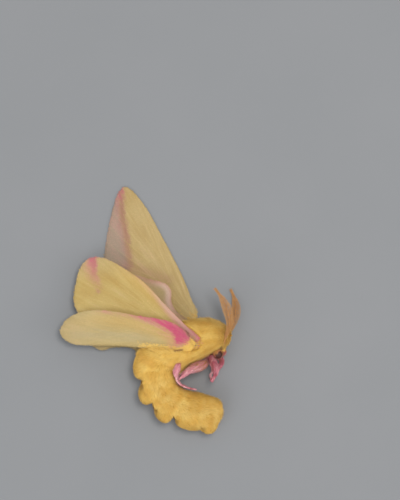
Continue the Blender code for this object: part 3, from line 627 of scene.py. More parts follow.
def marks(name, q):
    """Markings of a wing at points in its plane: rose pink, dusk (brown-grey; it also carries painted shadow lines and
    painted shade where another wing lies over it), grey (thin outer area), warm (ochre) and light (whitish pink)."""
    n = len(q)
    pink, dusk_and_shade, grey, warm, light = np.zeros(n), np.zeros(n), np.zeros(n), np.zeros(n), np.zeros(n)
    x, y = q[:, 0], q[:, 1]
    wobble = q + 0.10 * np.stack([waves(q, 0.9, 3), waves(q, 0.9, 4)], 1)
    hinge = WINGS[name].hinge
    ang = np.arctan2(y - hinge[1], x - hinge[0])
    far = np.hypot(x - hinge[0], y - hinge[1])
    # fine streaks run along the wing, between the veins
    streak = waves(np.stack([ang * 9.0, far * 0.12], 1), 0.9, 77) * 0.6 + waves(np.stack([ang * 26.0, far * 0.2], 1), 0.9, 78) * 0.4
    side = np.stack([-np.sin(ang), np.cos(ang)], 1)
    comb = q + side * (0.16 * waves(np.stack([ang * 14.0, far * 0.25], 1), 0.9, 79) + 0.05 * waves(q, 0.5, 80))[:, None]
    if name == "wing_fore_right":
        f, _ = stroke(wobble, [(-6.35, 7.0), (-6.45, 5.7), (-6.35, 4.7), (-6.05, 3.8), (-5.65, 3.0), (-5.4, 2.2)],
                      0.34, 0.95, [1.0, 1.0, 0.95, 0.7, 0.4, 0.0])
        pink += 0.66 * f
        dusk_and_shade += 0.24 * f
        f, _ = stroke(wobble, [(-7.1, 6.7), (-7.5, 5.3), (-7.6, 4.0)], 0.6, 0.7, [0.35, 0.3, 0.0])
        pink += f * 0.6
        s = np.exp(-((x + 5.95) ** 2 + (y - 2.3) ** 2) / 0.3**2)
        pink += 0.35 * s
        dusk_and_shade += 0.25 * s
        lead = curve(FORE_RIGHT[0], 60)
        d, w = to_segments(q, lead)
        along = np.interp(w, [0, 0.12, 0.34, 0.5, 0.62, 1], [0.80, 0.78, 0.56, 0.30, 0.16, 0.12])
        wide = np.interp(w, [0, 0.3, 0.6, 1], [1.15, 0.95, 0.5, 0.25])
        pink += along * np.exp(-(d / wide) ** 3) * (1 + 0.12 * streak)
        light += 0.55 * (0.55 + 0.45 * smooth(w, 0.02, 0.12)) * np.exp(-((d - 0.40 * wide) / (0.30 * wide)) ** 2) * (1 - smooth(w, 0.35, 0.6)) * (1 + 0.2 * streak)
        warm += 0.35 * np.exp(-(d / 1.6) ** 2) * smooth(w, 0.30, 0.5) * (1 - smooth(w, 0.75, 0.95))
        margin, _ = to_segments(q, curve(FORE_RIGHT[1], 80)[30:])
        pink += 0.30 * np.exp(-(margin / 0.16) ** 2)
        grey += 0.22 * smooth(y, 3.2, 6.0)
        # painted shadow: a dark line where the hind wing leaves it
        f, _ = stroke(q, [(7.0, -4.75), (6.1, -3.6), (5.35, -2.75), (4.2, -1.75), (2.6, -1.0)], 0.10, 0.20, [0.9, 0.9, 0.8, 0.5, 0.2])
        dusk_and_shade += 0.34 * f
    elif name == "wing_hind_right":
        patch = np.array([(-5.2, -0.16), (-2.6, -0.46), (0.1, -0.60), (2.4, -0.95), (3.6, -1.3), (4.7, -1.95), (5.6, -2.8), (6.35, -3.75),
                          (6.0, -4.42), (4.35, -4.45), (4.10, -3.6), (3.6, -2.95), (2.2, -2.32), (0.6, -1.74),
                          (-0.6, -1.36), (-2.2, -0.98), (-5.0, -0.50)])
        d = inside(comb, patch)
        strength = np.interp(x, [-5.2, -4.2, -2.6, -0.6, 1.2, 3.0, 4.2, 6.5], [0.1, 0.36, 0.52, 0.78, 0.86, 0.90, 1.0, 0.92])
        pink += strength * (1 - smooth(d, -0.50, 0.42)) * (0.9 + 0.16 * streak)
        d = inside(comb, patch + np.array([-0.9, -0.55]))
        pink += 0.30 * (1 - smooth(d, -0.3, 0.5)) * smooth(x, 0.5, 3.5)
        f, _ = stroke(comb, [(-6.5, -0.25), (-5.2, -0.3), (-3.8, -0.5)], 0.24, 0.3, [0.0, 1.0, 0.0])
        pink += 0.40 * f
        f, _ = stroke(comb, [(-9.6, -1.9), (-6.0, -1.2), (-1.5, -1.6), (3.5, -3.4), (5.4, -4.6)], 0.8, 0.9, [0.3, 0.8, 1.0, 1.0, 0.6])
        warm += 0.5 * f
        f, _ = stroke(comb, [(-9.0, -3.3), (-5.0, -3.2), (-0.5, -3.6), (3.0, -4.4)], 0.6, 0.8, [0.5, 1.0, 1.0, 0.3])
        grey += 0.35 * f
        # painted shadow: a dark line along the leading edge near the hinge, where the hind wing meets the fore wing
        f, _ = stroke(q, [(4.3, -1.45), (5.2, -2.4), (5.75, -3.3), (6.3, -4.1), (6.85, -4.85)], 0.10, 0.13, [0.4, 0.8, 1.0, 1.0, 1.0])
        dusk_and_shade += 0.95 * f
        f, _ = stroke(q, [(2.4, -1.0), (4.2, -1.6), (5.6, -2.9)], 0.1, 0.3, [0.2, 0.5, 0.6])
        dusk_and_shade += 0.25 * f
        warm += 0.30 * smooth(x, 1.0, 5.0) + 0.9 * (1 - smooth(np.hypot(x - 6.6, y + 4.75), 0.2, 0.5))
        # a dark line along the fold below the wing is painted shade; the wing also darkens slightly towards its tip
        d, _ = to_segments(q, FOLD)
        dusk_and_shade += 1.0 * np.exp(-(d / 0.10) ** 2) + 0.08 * smooth(-x, 6.5, 10.5)
        grey += 0.26 + 0.20 * smooth(-x, 2.0, 10.0) - 0.2 * smooth(x, 1.0, 5.0)
    elif name == "wing_hind_left":
        lead = curve(HIND_LEFT[0], 80)
        d, w = to_segments(q, lead)
        on = np.interp(w, [0, 0.12, 0.2, 0.45, 0.6, 1], [0.1, 0.30, 0.50, 0.46, 0.2, 0.0])
        pink += on * np.exp(-(np.clip(d - 0.25, 0, None) / 0.58) ** 2.0)
        light += 0.85 * np.interp(w, [0.1, 0.2, 0.36, 0.5], [0.3, 1, 0.8, 0.0]) * np.exp(-((d - 0.58) / 0.36) ** 2)
        # painted shadow: a thin dark line along the leading edge
        dusk_and_shade += 0.5 * np.interp(w, [0, 0.2, 0.6, 1], [0.2, 1, 1, 0.2]) * np.exp(-(d / 0.11) ** 2)
        # painted shade: it darkens to brown and grey where the fore wing covers it
        lead = curve(FORE_RIGHT[0], 60)
        d, w = to_segments(q, lead)
        dusk_and_shade += 0.22 * np.exp(-(d / 0.8) ** 2)
    else:
        band = [(-2.95, 16.2), (-3.0, 14.2), (-2.9, 12.3), (-2.65, 11.0), (-2.35, 9.7), (-2.2, 8.4), (-2.0, 7.1), (-1.8, 5.8)]
        f, w = stroke(wobble, band, 0.36, 0.62, [0.85, 1.0, 0.95, 0.9, 0.85, 0.8, 0.7, 0.5])
        pink += (0.46 + 0.3 * smooth(y, 13.3, 15.4)) * f * (1 + 0.22 * streak)
        dusk_and_shade += (0.66 - 0.3 * smooth(y, 13.3, 15.4)) * f * (1 + 0.22 * streak)
        line = np.asarray(band)
        bx = np.interp(y, line[::-1, 1], line[::-1, 0])
        out = smooth(bx - x, 0.05, 0.75)
        grey += 0.85 * out
        pink += out * np.interp(y, [5, 10, 14, 16.2], [0.06, 0.15, 0.28, 0.42])
        warm += 0.15 * (1 - out)
        # painted shadow: ochre and rose darkening next to the hind wing
        d, _ = to_segments(q, [(-3.6, 5.3), (-1.4, 5.2), (1.2, 4.5), (3.1, 3.8)])
        f = np.exp(-(d / 0.75) ** 2)
        dusk_and_shade += 0.22 * f
        pink += 0.16 * f
    return {"pink": np.clip(pink, 0, 1), "dusk_and_shade": np.clip(dusk_and_shade, 0, 1), "grey": np.clip(grey, 0, 1),
            "warm": np.clip(warm, 0, 1), "light": np.clip(light, 0, 1), "streak": streak}


def membrane(w):
    nu, nv = ((170, 60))
    u = np.linspace(0, 1, nu) ** 0.9
    v = np.linspace(0, 1, nv)
    uu, vv = np.meshgrid(u, v, indexing="ij")
    q = w.at(uu.ravel(), vv.ravel())
    z, half, vein = w.surface(q)
    top = np.column_stack([q, z + half + 0.045 * vein])
    low = np.column_stack([q, z - half - 0.045 * vein])
    low[:, 2] = np.maximum(low[:, 2], 0.0)
    n = nu * nv
    i = np.arange(nu - 1)[:, None] * nv + np.arange(nv - 1)[None, :]
    f_top = np.stack([i, i + nv, i + nv + 1, i + 1], -1).reshape(-1, 4)
    f_low = f_top[:, ::-1] + n
    rim = []
    a = np.arange(nu - 1) * nv
    rim.append(np.stack([a, a + n, a + nv + n, a + nv], 1))
    b = a + nv - 1
    rim.append(np.stack([b, b + nv, b + nv + n, b + n], 1))
    c = np.arange(nv - 1)
    rim.append(np.stack([c, c + 1, c + 1 + n, c + n], 1))
    d = c + (nu - 1) * nv
    rim.append(np.stack([d, d + n, d + 1 + n, d + 1], 1))
    ob = mesh_from(w.name + "_membrane", np.vstack([top, low]), [np.vstack([f_top, f_low] + rim)])
    bm = bmesh.new()
    bm.from_mesh(ob.data)
    bmesh.ops.recalc_face_normals(bm, faces=bm.faces[:])
    bm.to_mesh(ob.data)
    bm.free()
    mk = marks(w.name, q)
    for k, val in mk.items():
        put(ob, k, np.concatenate([val, val]))
    put(ob, "vein", np.concatenate([vein, vein]))
    put(ob, "tone", np.zeros(2 * n))
    # the two faces side by side on the map; the narrow rim goes with the upper face
    idx = np.empty(len(ob.data.loops), np.int32)
    ob.data.loops.foreach_get("vertex_index", idx)
    start = np.empty(len(ob.data.polygons), np.int32)
    ob.data.polygons.foreach_get("loop_start", start)
    total = np.empty(len(ob.data.polygons), np.int32)
    ob.data.polygons.foreach_get("loop_total", total)
    face_of = np.repeat(np.arange(len(total)), total)
    uppers = np.zeros(len(total), int)
    np.add.at(uppers, face_of, (idx < n).astype(int))
    is_rim = (uppers[face_of] > 0) & (uppers[face_of] < total[face_of])
    top_uv, low_uv = wing_uv(q, w, "top"), wing_uv(q, w, "low")
    uv = np.where((idx < n)[:, None], top_uv[idx % n], np.where(is_rim[:, None], top_uv[idx % n] + 0.0012, low_uv[idx % n]))
    layer = ob.data.uv_layers.new(name="OFBake")
    layer.data.foreach_set("uv", uv.astype(np.float32).ravel())
    return ob


# ------------------------------------------------------------------ markings of the body


def body_marks(p):
    """Colour masks of the fur and the skin under it, from a place on the body in design millimetres."""
    n = len(p)
    pink = np.zeros(n)
    # rose hair round the hips of the legs and along the inner edge of the curl
    for name in ("leg_mid_right", "leg_hind_right", "leg_fore_right"):
        d, w = to_segments(p, np.array(LEGS[name])[:, :3])
        pink = np.maximum(pink, 0.95 * np.exp(-(d / 0.42) ** 2) * (0.75 + 0.25 * smooth(w, 0.0, 0.2)))
    d, _ = to_segments(p[:, :2], [(4.45, -6.9), (4.1, -8.6), (4.35, -9.6), (5.1, -10.2)])
    pink = np.maximum(pink, 0.62 * np.exp(-(d / 0.34) ** 2) * smooth(p[:, 2], 1.5, 2.5))
    # face and throat
    f = (p - HEAD) @ FACE
    d = np.linalg.norm(p - HEAD, axis=1)
    pink = np.maximum(pink, 0.8 * smooth(f, 0.15, 0.75) * (1 - smooth(d, 1.4, 2.3)))
    s, across = on_spine(p)
    # soft strokes of paler and deeper hair follow the lie of the coat: along the breast, across the lobes
    long = waves(np.stack([s * 0.35, across * 1.1, p[:, 2] * 1.1], 1), 1.5, 141)
    fan_way = waves(np.stack([s * 1.25, across * 0.52, p[:, 2] * 0.52], 1), 1.3, 142)
    mix = smooth(s, -1.5, 1.5)
    stroke_ = long * (1 - mix) + fan_way * mix
    # deeper gold on the lobes, the tail and inside the curl: the hair's own colour, and on the lobes also painted shade
    # where they curve away
    gold_and_shade = smooth(across, 1.3, 3.6) * smooth(s, -0.5, 1.0) * 0.85 + 0.4 * smooth(s, 9.5, 13.5)
    gold_and_shade = np.maximum(gold_and_shade, 0.75 * smooth(s, 8.3, 9.6) * smooth(-across, -1.5, 1.2) * 0.8)
    pale = smooth(-s, 3.0, 7.0) * smooth(across, 0.6, 2.2) * 0.3
    f = fans(s)
    # a paler band along the middle of the abdomen: painted highlight
    pale = np.maximum(pale, 0.34 * smooth(1.6 - np.abs(across - 0.4), 0.0, 1.4) * smooth(s, 2.5, 4.5))
    # painted shade in the notches between the lobes of the back
    shade = 0.4 * np.exp(-(f / 0.35) ** 2) * smooth(across, 1.9, 2.5) * smooth(s, 2.5, 3.4) * (1 - smooth(s, 11.9, 12.4))
    # painted shade in the groove where the legs fold against the breast
    d, _ = to_segments(p[:, :2], [(10.0, -4.9), (8.4, -5.95), (6.2, -6.8), (4.6, -8.3)])
    shade = np.maximum(shade, 0.55 * np.exp(-(d / 0.16) ** 2) * smooth(-s, -0.5, 1.0) * smooth(p[:, 2], 2.6, 3.8))
    # painted shade: ochre round the fold in the fur below the wing, and a dark brown line along it
    d, _ = to_segments(p[:, :2], FOLD)
    shade = np.maximum(shade, 1.0 * np.exp(-(d / 0.15) ** 2) * smooth(p[:, 2], 3.0, 4.0))
    crease_shade = np.exp(-(d / 0.085) ** 2) * smooth(p[:, 2], 3.0, 4.0)
    # the cheek's hair is mauve, and painted shade draws the dark parting that runs up from the eye
    d, _ = to_segments(p[:, :2], [(8.15, -6.15), (8.75, -5.98), (9.35, -5.75)])
    cheek = np.exp(-(d / 0.30) ** 2) * smooth(p[:, 2], 1.8, 2.8)
    pink = np.maximum(pink, 0.85 * cheek)
    shade = np.maximum(shade, 0.45 * cheek)
    d, _ = to_segments(p[:, :2], [(9.68, -5.62), (9.80, -5.25), (9.90, -4.92)])
    crease_shade = np.maximum(crease_shade, np.exp(-(d / 0.13) ** 2) * smooth(p[:, 2], 2.0, 3.0))
    # the rose of the wing's leading edge runs out into the fur behind its hinge
    d, _ = to_segments(p[:, :2], [(6.7, -3.65), (7.3, -4.05), (7.5, -4.25)])
    pink = np.maximum(pink, 0.42 * np.exp(-(d / 0.26) ** 2) * smooth(p[:, 2], 3.0, 4.0))
    return {"pink": np.clip(pink, 0, 1), "gold_and_shade": np.clip(gold_and_shade, 0, 1), "pale": np.clip(pale, 0, 1),
            "shade": np.clip(shade, 0, 1), "stroke": np.clip(stroke_, -1, 1), "crease_shade": crease_shade}


# ------------------------------------------------------------------ tufts
SECTION = np.array([[1.0, -0.25], [-1.0, -0.25], [0.0, 0.5]])     # across, up: a flat three-sided lock


def blades(root, d0, d1, up, length, width, stations=(0.0, 0.55), taper=(0.75, 1.0), thick=0.33):
    """Tapered three-sided locks: points (N, 3k+1, 3), place along each, and the faces of one."""
    n = len(root)
    t = np.array(stations)
    k = len(t)
    length, width = np.broadcast_to(length, n), np.broadcast_to(width, n)
    d0, d1 = unit(d0), unit(d1)
    axis = root[:, None] + length[:, None, None] * (d0[:, None] * t[None, :, None]
                                                   + (d1 - d0)[:, None] * (t**2)[None, :, None] / 2)
    tip = root + length[:, None] * (d0 + (d1 - d0) / 2)
    d = unit(d0[:, None] * (1 - t)[None, :, None] + d1[:, None] * t[None, :, None])
    side = unit(np.cross(d, up[:, None]))
    top = np.cross(side, d)
    w = width[:, None] * np.array(taper)[None] / 2
    pts = (axis[:, :, None] + side[:, :, None] * (w[:, :, None] * SECTION[None, None, :, 0])[..., None]
           + top[:, :, None] * (w[:, :, None] * thick * SECTION[None, None, :, 1] * 2)[..., None])
    pts = np.concatenate([pts.reshape(n, k * 3, 3), tip[:, None]], axis=1)
    quads = [[i * 3 + j, i * 3 + (j + 1) % 3, i * 3 + 3 + (j + 1) % 3, i * 3 + 3 + j] for i in range(k - 1) for j in range(3)]
    tris = [[k * 3 - 3 + j, k * 3 - 3 + (j + 1) % 3, k * 3] for j in range(3)] + [[2, 1, 0]]
    place = np.concatenate([np.repeat(t, 3), [1.0]])
    turn = np.concatenate([np.tile(np.arange(3) / 2.0, k), [0.5]])
    return pts, place, turn, np.array(quads), np.array(tris)


def coat(name, root, d0, d1, up, length, width, uv, tone, masks, floor=0.004, pressed=True, **kw):
    """One piece of the coat: locks with their masks taken at the root."""
    pts, place, turn, quads, tris = blades(root, d0, d1, up, length, width, **kw)
    n, m, _ = pts.shape
    flat = pts.reshape(-1, 3)
    if pressed:
        flat = press(flat, 0.12, 2.3, 0.55)
    if floor is not None:
        low = floor + 0.03 * np.repeat(tone * 0.5 + 0.5, m)
        flat[:, 2] = np.where(flat[:, 2] < low, low - 0.12 * np.clip(low - flat[:, 2], 0, 0.1), flat[:, 2])
        flat[:, 2] = np.maximum(flat[:, 2], 0.001)
    base = (np.arange(n) * m)[:, None, None]
    rim = np.arange(m) % 3 != 2
    rim[-1] = True
    ob = mesh_from(name, flat, [(quads[None] + base).reshape(-1, 4), (tris[None] + base).reshape(-1, 3)], rim)
    put(ob, "tip", np.tile(place, n))
    put(ob, "tone", np.repeat(tone, m))
    for k, v in masks.items():
        put(ob, k, np.repeat(v, m))
    patch = 0.003
    u = np.clip(uv[:, None, 0] * (1 - 2 * patch) + patch * place[None], 0.0005, 0.9995)
    v = np.clip(uv[:, None, 1] * (1 - 2 * patch) + patch * turn[None], 0.0005, 0.9995)
    put_uv(ob, np.stack([u, v], -1).reshape(-1, 2))
    return ob


def rotate(v, axis, angle):
    """Turns vectors about unit axes (Rodrigues)."""
    c, s = np.cos(angle)[:, None], np.sin(angle)[:, None]
    return v * c + np.cross(axis, v) * s + axis * ((axis * v).sum(1, keepdims=True)) * (1 - c)


def spread(s0, s1, count, weight=None, ns=240, na=96, seed=0):
    """Evenly strewn places (s, angle) on the body's skin between two stations, by area."""
    rng = np.random.default_rng(seed)
    s = np.linspace(s0, s1, ns + 1)
    a = np.linspace(0, 2 * np.pi, na + 1)
    sm, am = (s[1:] + s[:-1]) / 2, (a[1:] + a[:-1]) / 2
    ss, aa = np.meshgrid(sm, am, indexing="ij")
    ss, aa = ss.ravel(), aa.ravel()
    e = 0.01
    ps = (body_point(ss + e, aa, COAT) - body_point(ss - e, aa, COAT)) / (2 * e)
    pa = (body_point(ss, aa + e, COAT) - body_point(ss, aa - e, COAT)) / (2 * e)
    area = np.linalg.norm(np.cross(ps, pa), axis=1)
    area = np.minimum(area, np.quantile(area, 0.9995))
    if weight is not None:
        area = area * weight(ss, aa)
    cum = np.cumsum(area) / area.sum()
    pick = (np.arange(count) + rng.uniform(0, 1, count)) / count
    cell = np.minimum(np.searchsorted(cum, pick), len(cum) - 1)
    return (ss[cell] + rng.uniform(-0.5, 0.5, count) * (s[1] - s[0]),
            aa[cell] + rng.uniform(-0.5, 0.5, count) * (a[1] - a[0]))


def body_coat(name, s0, s1, count, long, lift, loose, width, seed):
    rng = np.random.default_rng(seed)
    cleft = lambda s: np.max([np.exp(-((s - c) / 0.24) ** 2) for c in (3.38, 5.5, 8.0, 11.8)], axis=0)
    floor_side = lambda s, a: (0.35 + 0.65 * smooth(np.sin(a), -0.95, -0.6)) * (1 + 2.2 * cleft(s) * smooth(np.cos(a - 0.15), 0.55, 0.9))
    s, a = spread(s0, s1, count, floor_side, seed=seed)
    p, nrm, back = body_frame(s, a, COAT)
    _, _, outward = spine(s)
    h = np.radians(heading(s))
    tail = np.stack([np.cos(h), np.sin(h), np.zeros(len(s))], 1)
    # over the crests of the lobes the hair runs straight on towards the tail instead of diving into the notch
    dive = smooth(-(back * np.concatenate([outward, np.zeros((len(s), 1))], 1)).sum(1), 0.15, 0.75)
    run = unit(back * (1 - 0.6 * dive)[:, None] + tail * (0.6 * dive)[:, None])
    run = unit(run - nrm * (run * nrm).sum(1, keepdims=True) * (1 - dive)[:, None])
    length = long * rng.uniform(0.65, 1.12, len(s))
    # on the lobes of the back it spreads out like a fan, from the ridge of the back to the scalloped edge
    ridge = (a - np.radians(through(ROLL, s)) * 0.6 + np.pi) % (2 * np.pi) - np.pi
    crest = smooth(np.cos(ridge), *CREST)
    high = fans(s, TRIM) * crest + through(MANE, s) * (1 - crest)
    fan_w = smooth(high, 0.10, 0.55) * smooth(np.cos(ridge), -0.05, 0.6) * (0.7 + 0.3 * crest)
    u = np.zeros(len(s))
    for k, (fa, fb, _, _) in FANS.items():
        here = (s >= fa) & (s <= fb) & (fan(k, s) >= fans(s) - 1e-6)
        u[here] = ((s - fa) / (fb - fa))[here]
    lean = (-0.35 + 1.25 * u) * crest + 0.45 * (1 - crest)
    flare = unit(np.concatenate([outward, np.zeros((len(s), 1))], 1) + tail * lean[:, None])
    stand = smooth(np.cos(ridge), 0.97, 0.998) * 0.5
    flare = unit(flare - nrm * (flare * nrm).sum(1, keepdims=True) * (1 - stand)[:, None])
    run = unit(run * (1 - fan_w)[:, None] + flare * fan_w[:, None])
    room = (0.36 + 2.5 * np.abs(ridge)) * rng.uniform(0.8, 1.15, len(s))
    length = np.where(fan_w > 0.3, np.minimum(length, room), length) * (1 - 0.40 * fan_w * crest * smooth(u, 0.80, 1.0)) \
        * (1 - 0.25 * fan_w * crest * (1 - smooth(u, 0.0, 0.20)))
    notch = smooth(s, 2.9, 3.3) * (1 - smooth(high, 0.05, 0.4)) * crest * (1 - smooth(s, 12.8, 13.2))
    length = length * (1 - 0.30 * notch)
    # clumps: neighbours share a direction
    cell = np.stack([s * 1.9, a * 5.0], 1)
    swing = 0.45 * waves(cell, 2.4, seed + 1) + 0.3 * waves(cell, 0.9, seed + 2)
    heave = waves(cell, 1.7, seed + 3)
    turn = loose * (0.8 * swing + 0.5 * rng.normal(size=len(s)))
    run = rotate(run, nrm, turn)
    rise = lift * (1 + 0.25 * heave + 0.33 * rng.normal(size=len(s))).clip(0.2, 2.1) * (1 - 0.25 * fan_w)
    rise = rise * (1 + 1.1 * cleft(s) * crest * smooth(s, 2.0, 3.0))
    # a woolly ruff stands out round the front of the breast
    ruff = smooth(-s, 7.0, 8.2)
    rise = rise * (1 - ruff) + np.radians(rng.uniform(12, 48, len(s))) * ruff
    run = unit(run + ruff[:, None] * 0.6 * (rng.normal(size=run.shape) * 0.5))
    d0 = unit(run * np.cos(rise * 1.35)[:, None] + nrm * np.sin(rise * 1.35)[:, None])
    end = rise * 0.55 + loose * 0.25 * rng.normal(size=len(s))
    bent = rotate(run, nrm, loose * 0.6 * rng.normal(size=len(s)))
    d1 = unit(bent * np.cos(end)[:, None] + nrm * np.sin(end)[:, None])
    length = length * (1 + 0.12 * heave)
    # shorter towards the two ends of the body and where the hair meets the wings
    length = length * (1 - 0.50 * smooth(-s, 7.0, 8.2)) * (1 - 0.25 * smooth(s, 12.6, 13.4))
    wid = width * rng.uniform(0.7, 1.25, len(s))
    root = p - nrm * 0.05
    root[:, 2] = np.maximum(root[:, 2], 0.05)
    # a few long thin guard hairs stand out of the coat
    guard = rng.uniform(size=len(s)) < 0.07
    wid = np.where(guard, wid * 0.55, wid)
    d0 = np.where(guard[:, None], unit(d0 + nrm * rng.uniform(0.2, 0.55, len(s))[:, None]), d0)
    d1 = np.where(guard[:, None], unit(d1 + nrm * rng.uniform(0.0, 0.35, len(s))[:, None]), d1)
    # tips keep to the scalloped outline of the back, within a ragged margin
    lobed = (s > 1.5) & (np.cos(ridge) > 0.1)
    at = np.flatnonzero(lobed)
    for _ in range(2):
        tip = root[at] + (length[at])[:, None] * (d0[at] + d1[at]) / 2
        ts, ta = on_spine(tip)
        _, ra = on_spine(root[at])
        limit = (through(BACK_A, ts) + fans(ts, 0.15) - 0.8 * grooves(ts)) + np.where(guard[at], 0.22, 0.06) * rng.uniform(-0.6, 1.0, len(at))
        over = ta - limit
        cut = np.where((over > 0) & (ta > ra + 0.02), np.clip(1 - over / np.maximum(ta - ra, 0.05), 0.38, 1.0), 1.0)
        length[at] = length[at] * cut
    if s0 < 0:                      # no fur where the eyes sit
        keep = np.ones(len(s), bool)
        for c in EYES.values():
            keep &= np.linalg.norm(root - c, axis=1) > 0.62
            keep &= np.linalg.norm(root + d0 * length[:, None] * 0.8 - c, axis=1) > 0.62
    else:
        keep = np.ones(len(s), bool)
    # markings are taken where the lock shows, past its middle
    shown = root + (d0 * 0.75 + d1 * 0.25) * (length * 0.6)[:, None]
    slit = np.min([to_segments((root + (d0 * (1 - f / 2) + d1 * f / 2) * (length * f)[:, None])[:, :2], FOLD)[0]
                   for f in (0.35, 0.6, 0.85)], axis=0)
    keep &= (slit > 0.085) | (root[:, 2] < 2.6)
    masks = {k: v[keep] for k, v in body_marks(shown).items()}
    uv = np.stack([(s - s0) / (s1 - s0), (a % (2 * np.pi)) / (2 * np.pi)], 1)
    tone = rng.uniform(-1, 1, len(s)) * 0.7 + 0.3 * np.clip(swing, -1, 1)
    return coat(name, root[keep], d0[keep], d1[keep], nrm[keep], length[keep], wid[keep], uv[keep], tone[keep], masks)


def head_coat(name, count, seed=71):
    rng = np.random.default_rng(seed)
    d = unit(rng.normal(size=(count, 3)))
    f, c, sd = d @ FACE, d @ CROWN, d @ SIDE
    keep = f > -0.55
    d, f, c, sd = d[keep], f[keep], c[keep], sd[keep]
    root = (HEAD + FACE * (f * HEAD_R[0] * (1 + 0.25 * np.clip(f, 0, 1) ** 2))[:, None] + CROWN * (c * HEAD_R[1])[:, None]
            + SIDE * (sd * HEAD_R[2])[:, None])
    nrm = unit(FACE * (f / HEAD_R[0])[:, None] + CROWN * (c / HEAD_R[1])[:, None] + SIDE * (sd / HEAD_R[2])[:, None])
    eye = np.min([np.linalg.norm(root - e, axis=1) for e in EYES.values()], axis=0)
    keep = eye > 0.60
    root, nrm, f, c, sd, eye = root[keep], nrm[keep], f[keep], c[keep], sd[keep], eye[keep]
    # hair of the crown and cheeks lies back, that of the face hangs forward and down
    lie = np.where((c > 0.1)[:, None], FACE * 0.75 + CROWN * 0.55, FACE * 0.35 - CROWN * 0.6)
    lie = np.where((c < -0.1)[:, None], lie + FACE * 0.7, lie)
    lie = unit(lie - nrm * (lie * nrm).sum(1, keepdims=True) + 0.15 * rng.normal(size=root.shape))
    rise = np.radians(rng.uniform(12, 34, len(root)))
    d0 = unit(lie * np.cos(rise)[:, None] + nrm * np.sin(rise)[:, None])
    d1 = unit(lie + nrm * 0.25)
    throat = smooth(-c, 0.15, 0.5) * smooth(f, -0.1, 0.3)
    length = rng.uniform(0.24, 0.44, len(root)) * (1 + 0.45 * smooth(f, 0.3, 0.9)) * (0.30 + 0.70 * smooth(eye, 0.6, 1.1)) \
        * (1 + 0.9 * throat)
    uv = np.stack([np.arctan2(c, sd) / (2 * np.pi) % 1, np.arccos(np.clip(f, -1, 1)) / np.pi], 1)
    tone = rng.uniform(-1, 1, len(root))
    return coat(name, root - nrm * 0.03, d0, d1, nrm, length, rng.uniform(0.045, 0.075, len(root)), uv, tone,
                body_marks(root), pressed=False)


def leg_coat(name, legs, per_mm, seed=91):
    rng = np.random.default_rng(seed)
    out = {k: [] for k in ("root", "d0", "d1", "up", "length", "width", "uv")}
    for li, leg in enumerate(legs):
        p = leg_path(leg, 160)
        run = np.concatenate([[0], np.cumsum(np.linalg.norm(np.diff(p[:, :3], axis=0), axis=1))])
        d = unit(np.gradient(p[:, :3], axis=0))
        side = unit(np.cross(d, np.array([0, 0, 1.0])))
        top = np.cross(side, d)
        count = int(per_mm * run[-1] * 1.0)
        begin = FOOT.get(leg, 0.60)
        thick = p[:, 3] / p[:, 3].max()
        prob = 0.35 + 0.65 * thick
        cum = np.cumsum(prob) / prob.sum()
        at = np.interp((np.arange(count) + rng.uniform(0, 1, count)) / count, cum, np.arange(160.0))
        pick = lambda v: np.stack([np.interp(at, np.arange(160), v[:, j]) for j in range(v.shape[1])], 1)
        q, dd, ss, tt = pick(p), unit(pick(d)), unit(pick(side)), unit(pick(top))
        a = rng.uniform(0, 2 * np.pi, count)
        n = ss * np.cos(a)[:, None] + tt * np.sin(a)[:, None]
        root = q[:, :3] + n * (q[:, 3:4] - 0.02)
        t = at / 159.0
        # combs of longer hair on the back of the thigh and shin
        comb = smooth(np.cos(a - 1.2), 0.2, 1.0) * (1 - smooth(t, begin - 0.1, begin + 0.02))
        size = 0.85 if "hind" in leg else 1.0
        long = np.interp(t, [0, 0.15, begin - 0.1, begin + 0.02, 1], [0.42, 0.5, 0.42, 0.26, 0.2]) * rng.uniform(0.7, 1.2, count) \
            * (1 + 0.5 * comb) * (size + (1 - size) * smooth(t, 0.5, 0.7))
        rise = np.radians(rng.uniform(10, 30, count)) * (1 + 0.6 * comb)
        out["root"].append(root)
        out["d0"].append(unit(dd * np.cos(rise)[:, None] + n * np.sin(rise)[:, None] + 0.10 * rng.normal(size=n.shape)))
        out["d1"].append(unit(dd + n * 0.18 * (1 + comb)[:, None] + 0.10 * rng.normal(size=n.shape)))
        out["up"].append(n)
        out["length"].append(long)
        out["width"].append(rng.uniform(0.038, 0.068, count) * np.interp(t, [0, 0.6, 1], [1, 0.85, 0.75]))
        out["uv"].append(np.stack([(li + 0.03 + 0.94 * a / (2 * np.pi)) / len(legs), t], 1))
    o = {k: np.concatenate(v) for k, v in out.items()}
    n = len(o["root"])
    tone = rng.uniform(-1, 1, n)
    masks = leg_marks(o["root"])
    return coat(name, o["root"], o["d0"], o["d1"], o["up"], o["length"], o["width"], o["uv"], tone, masks, pressed=False)


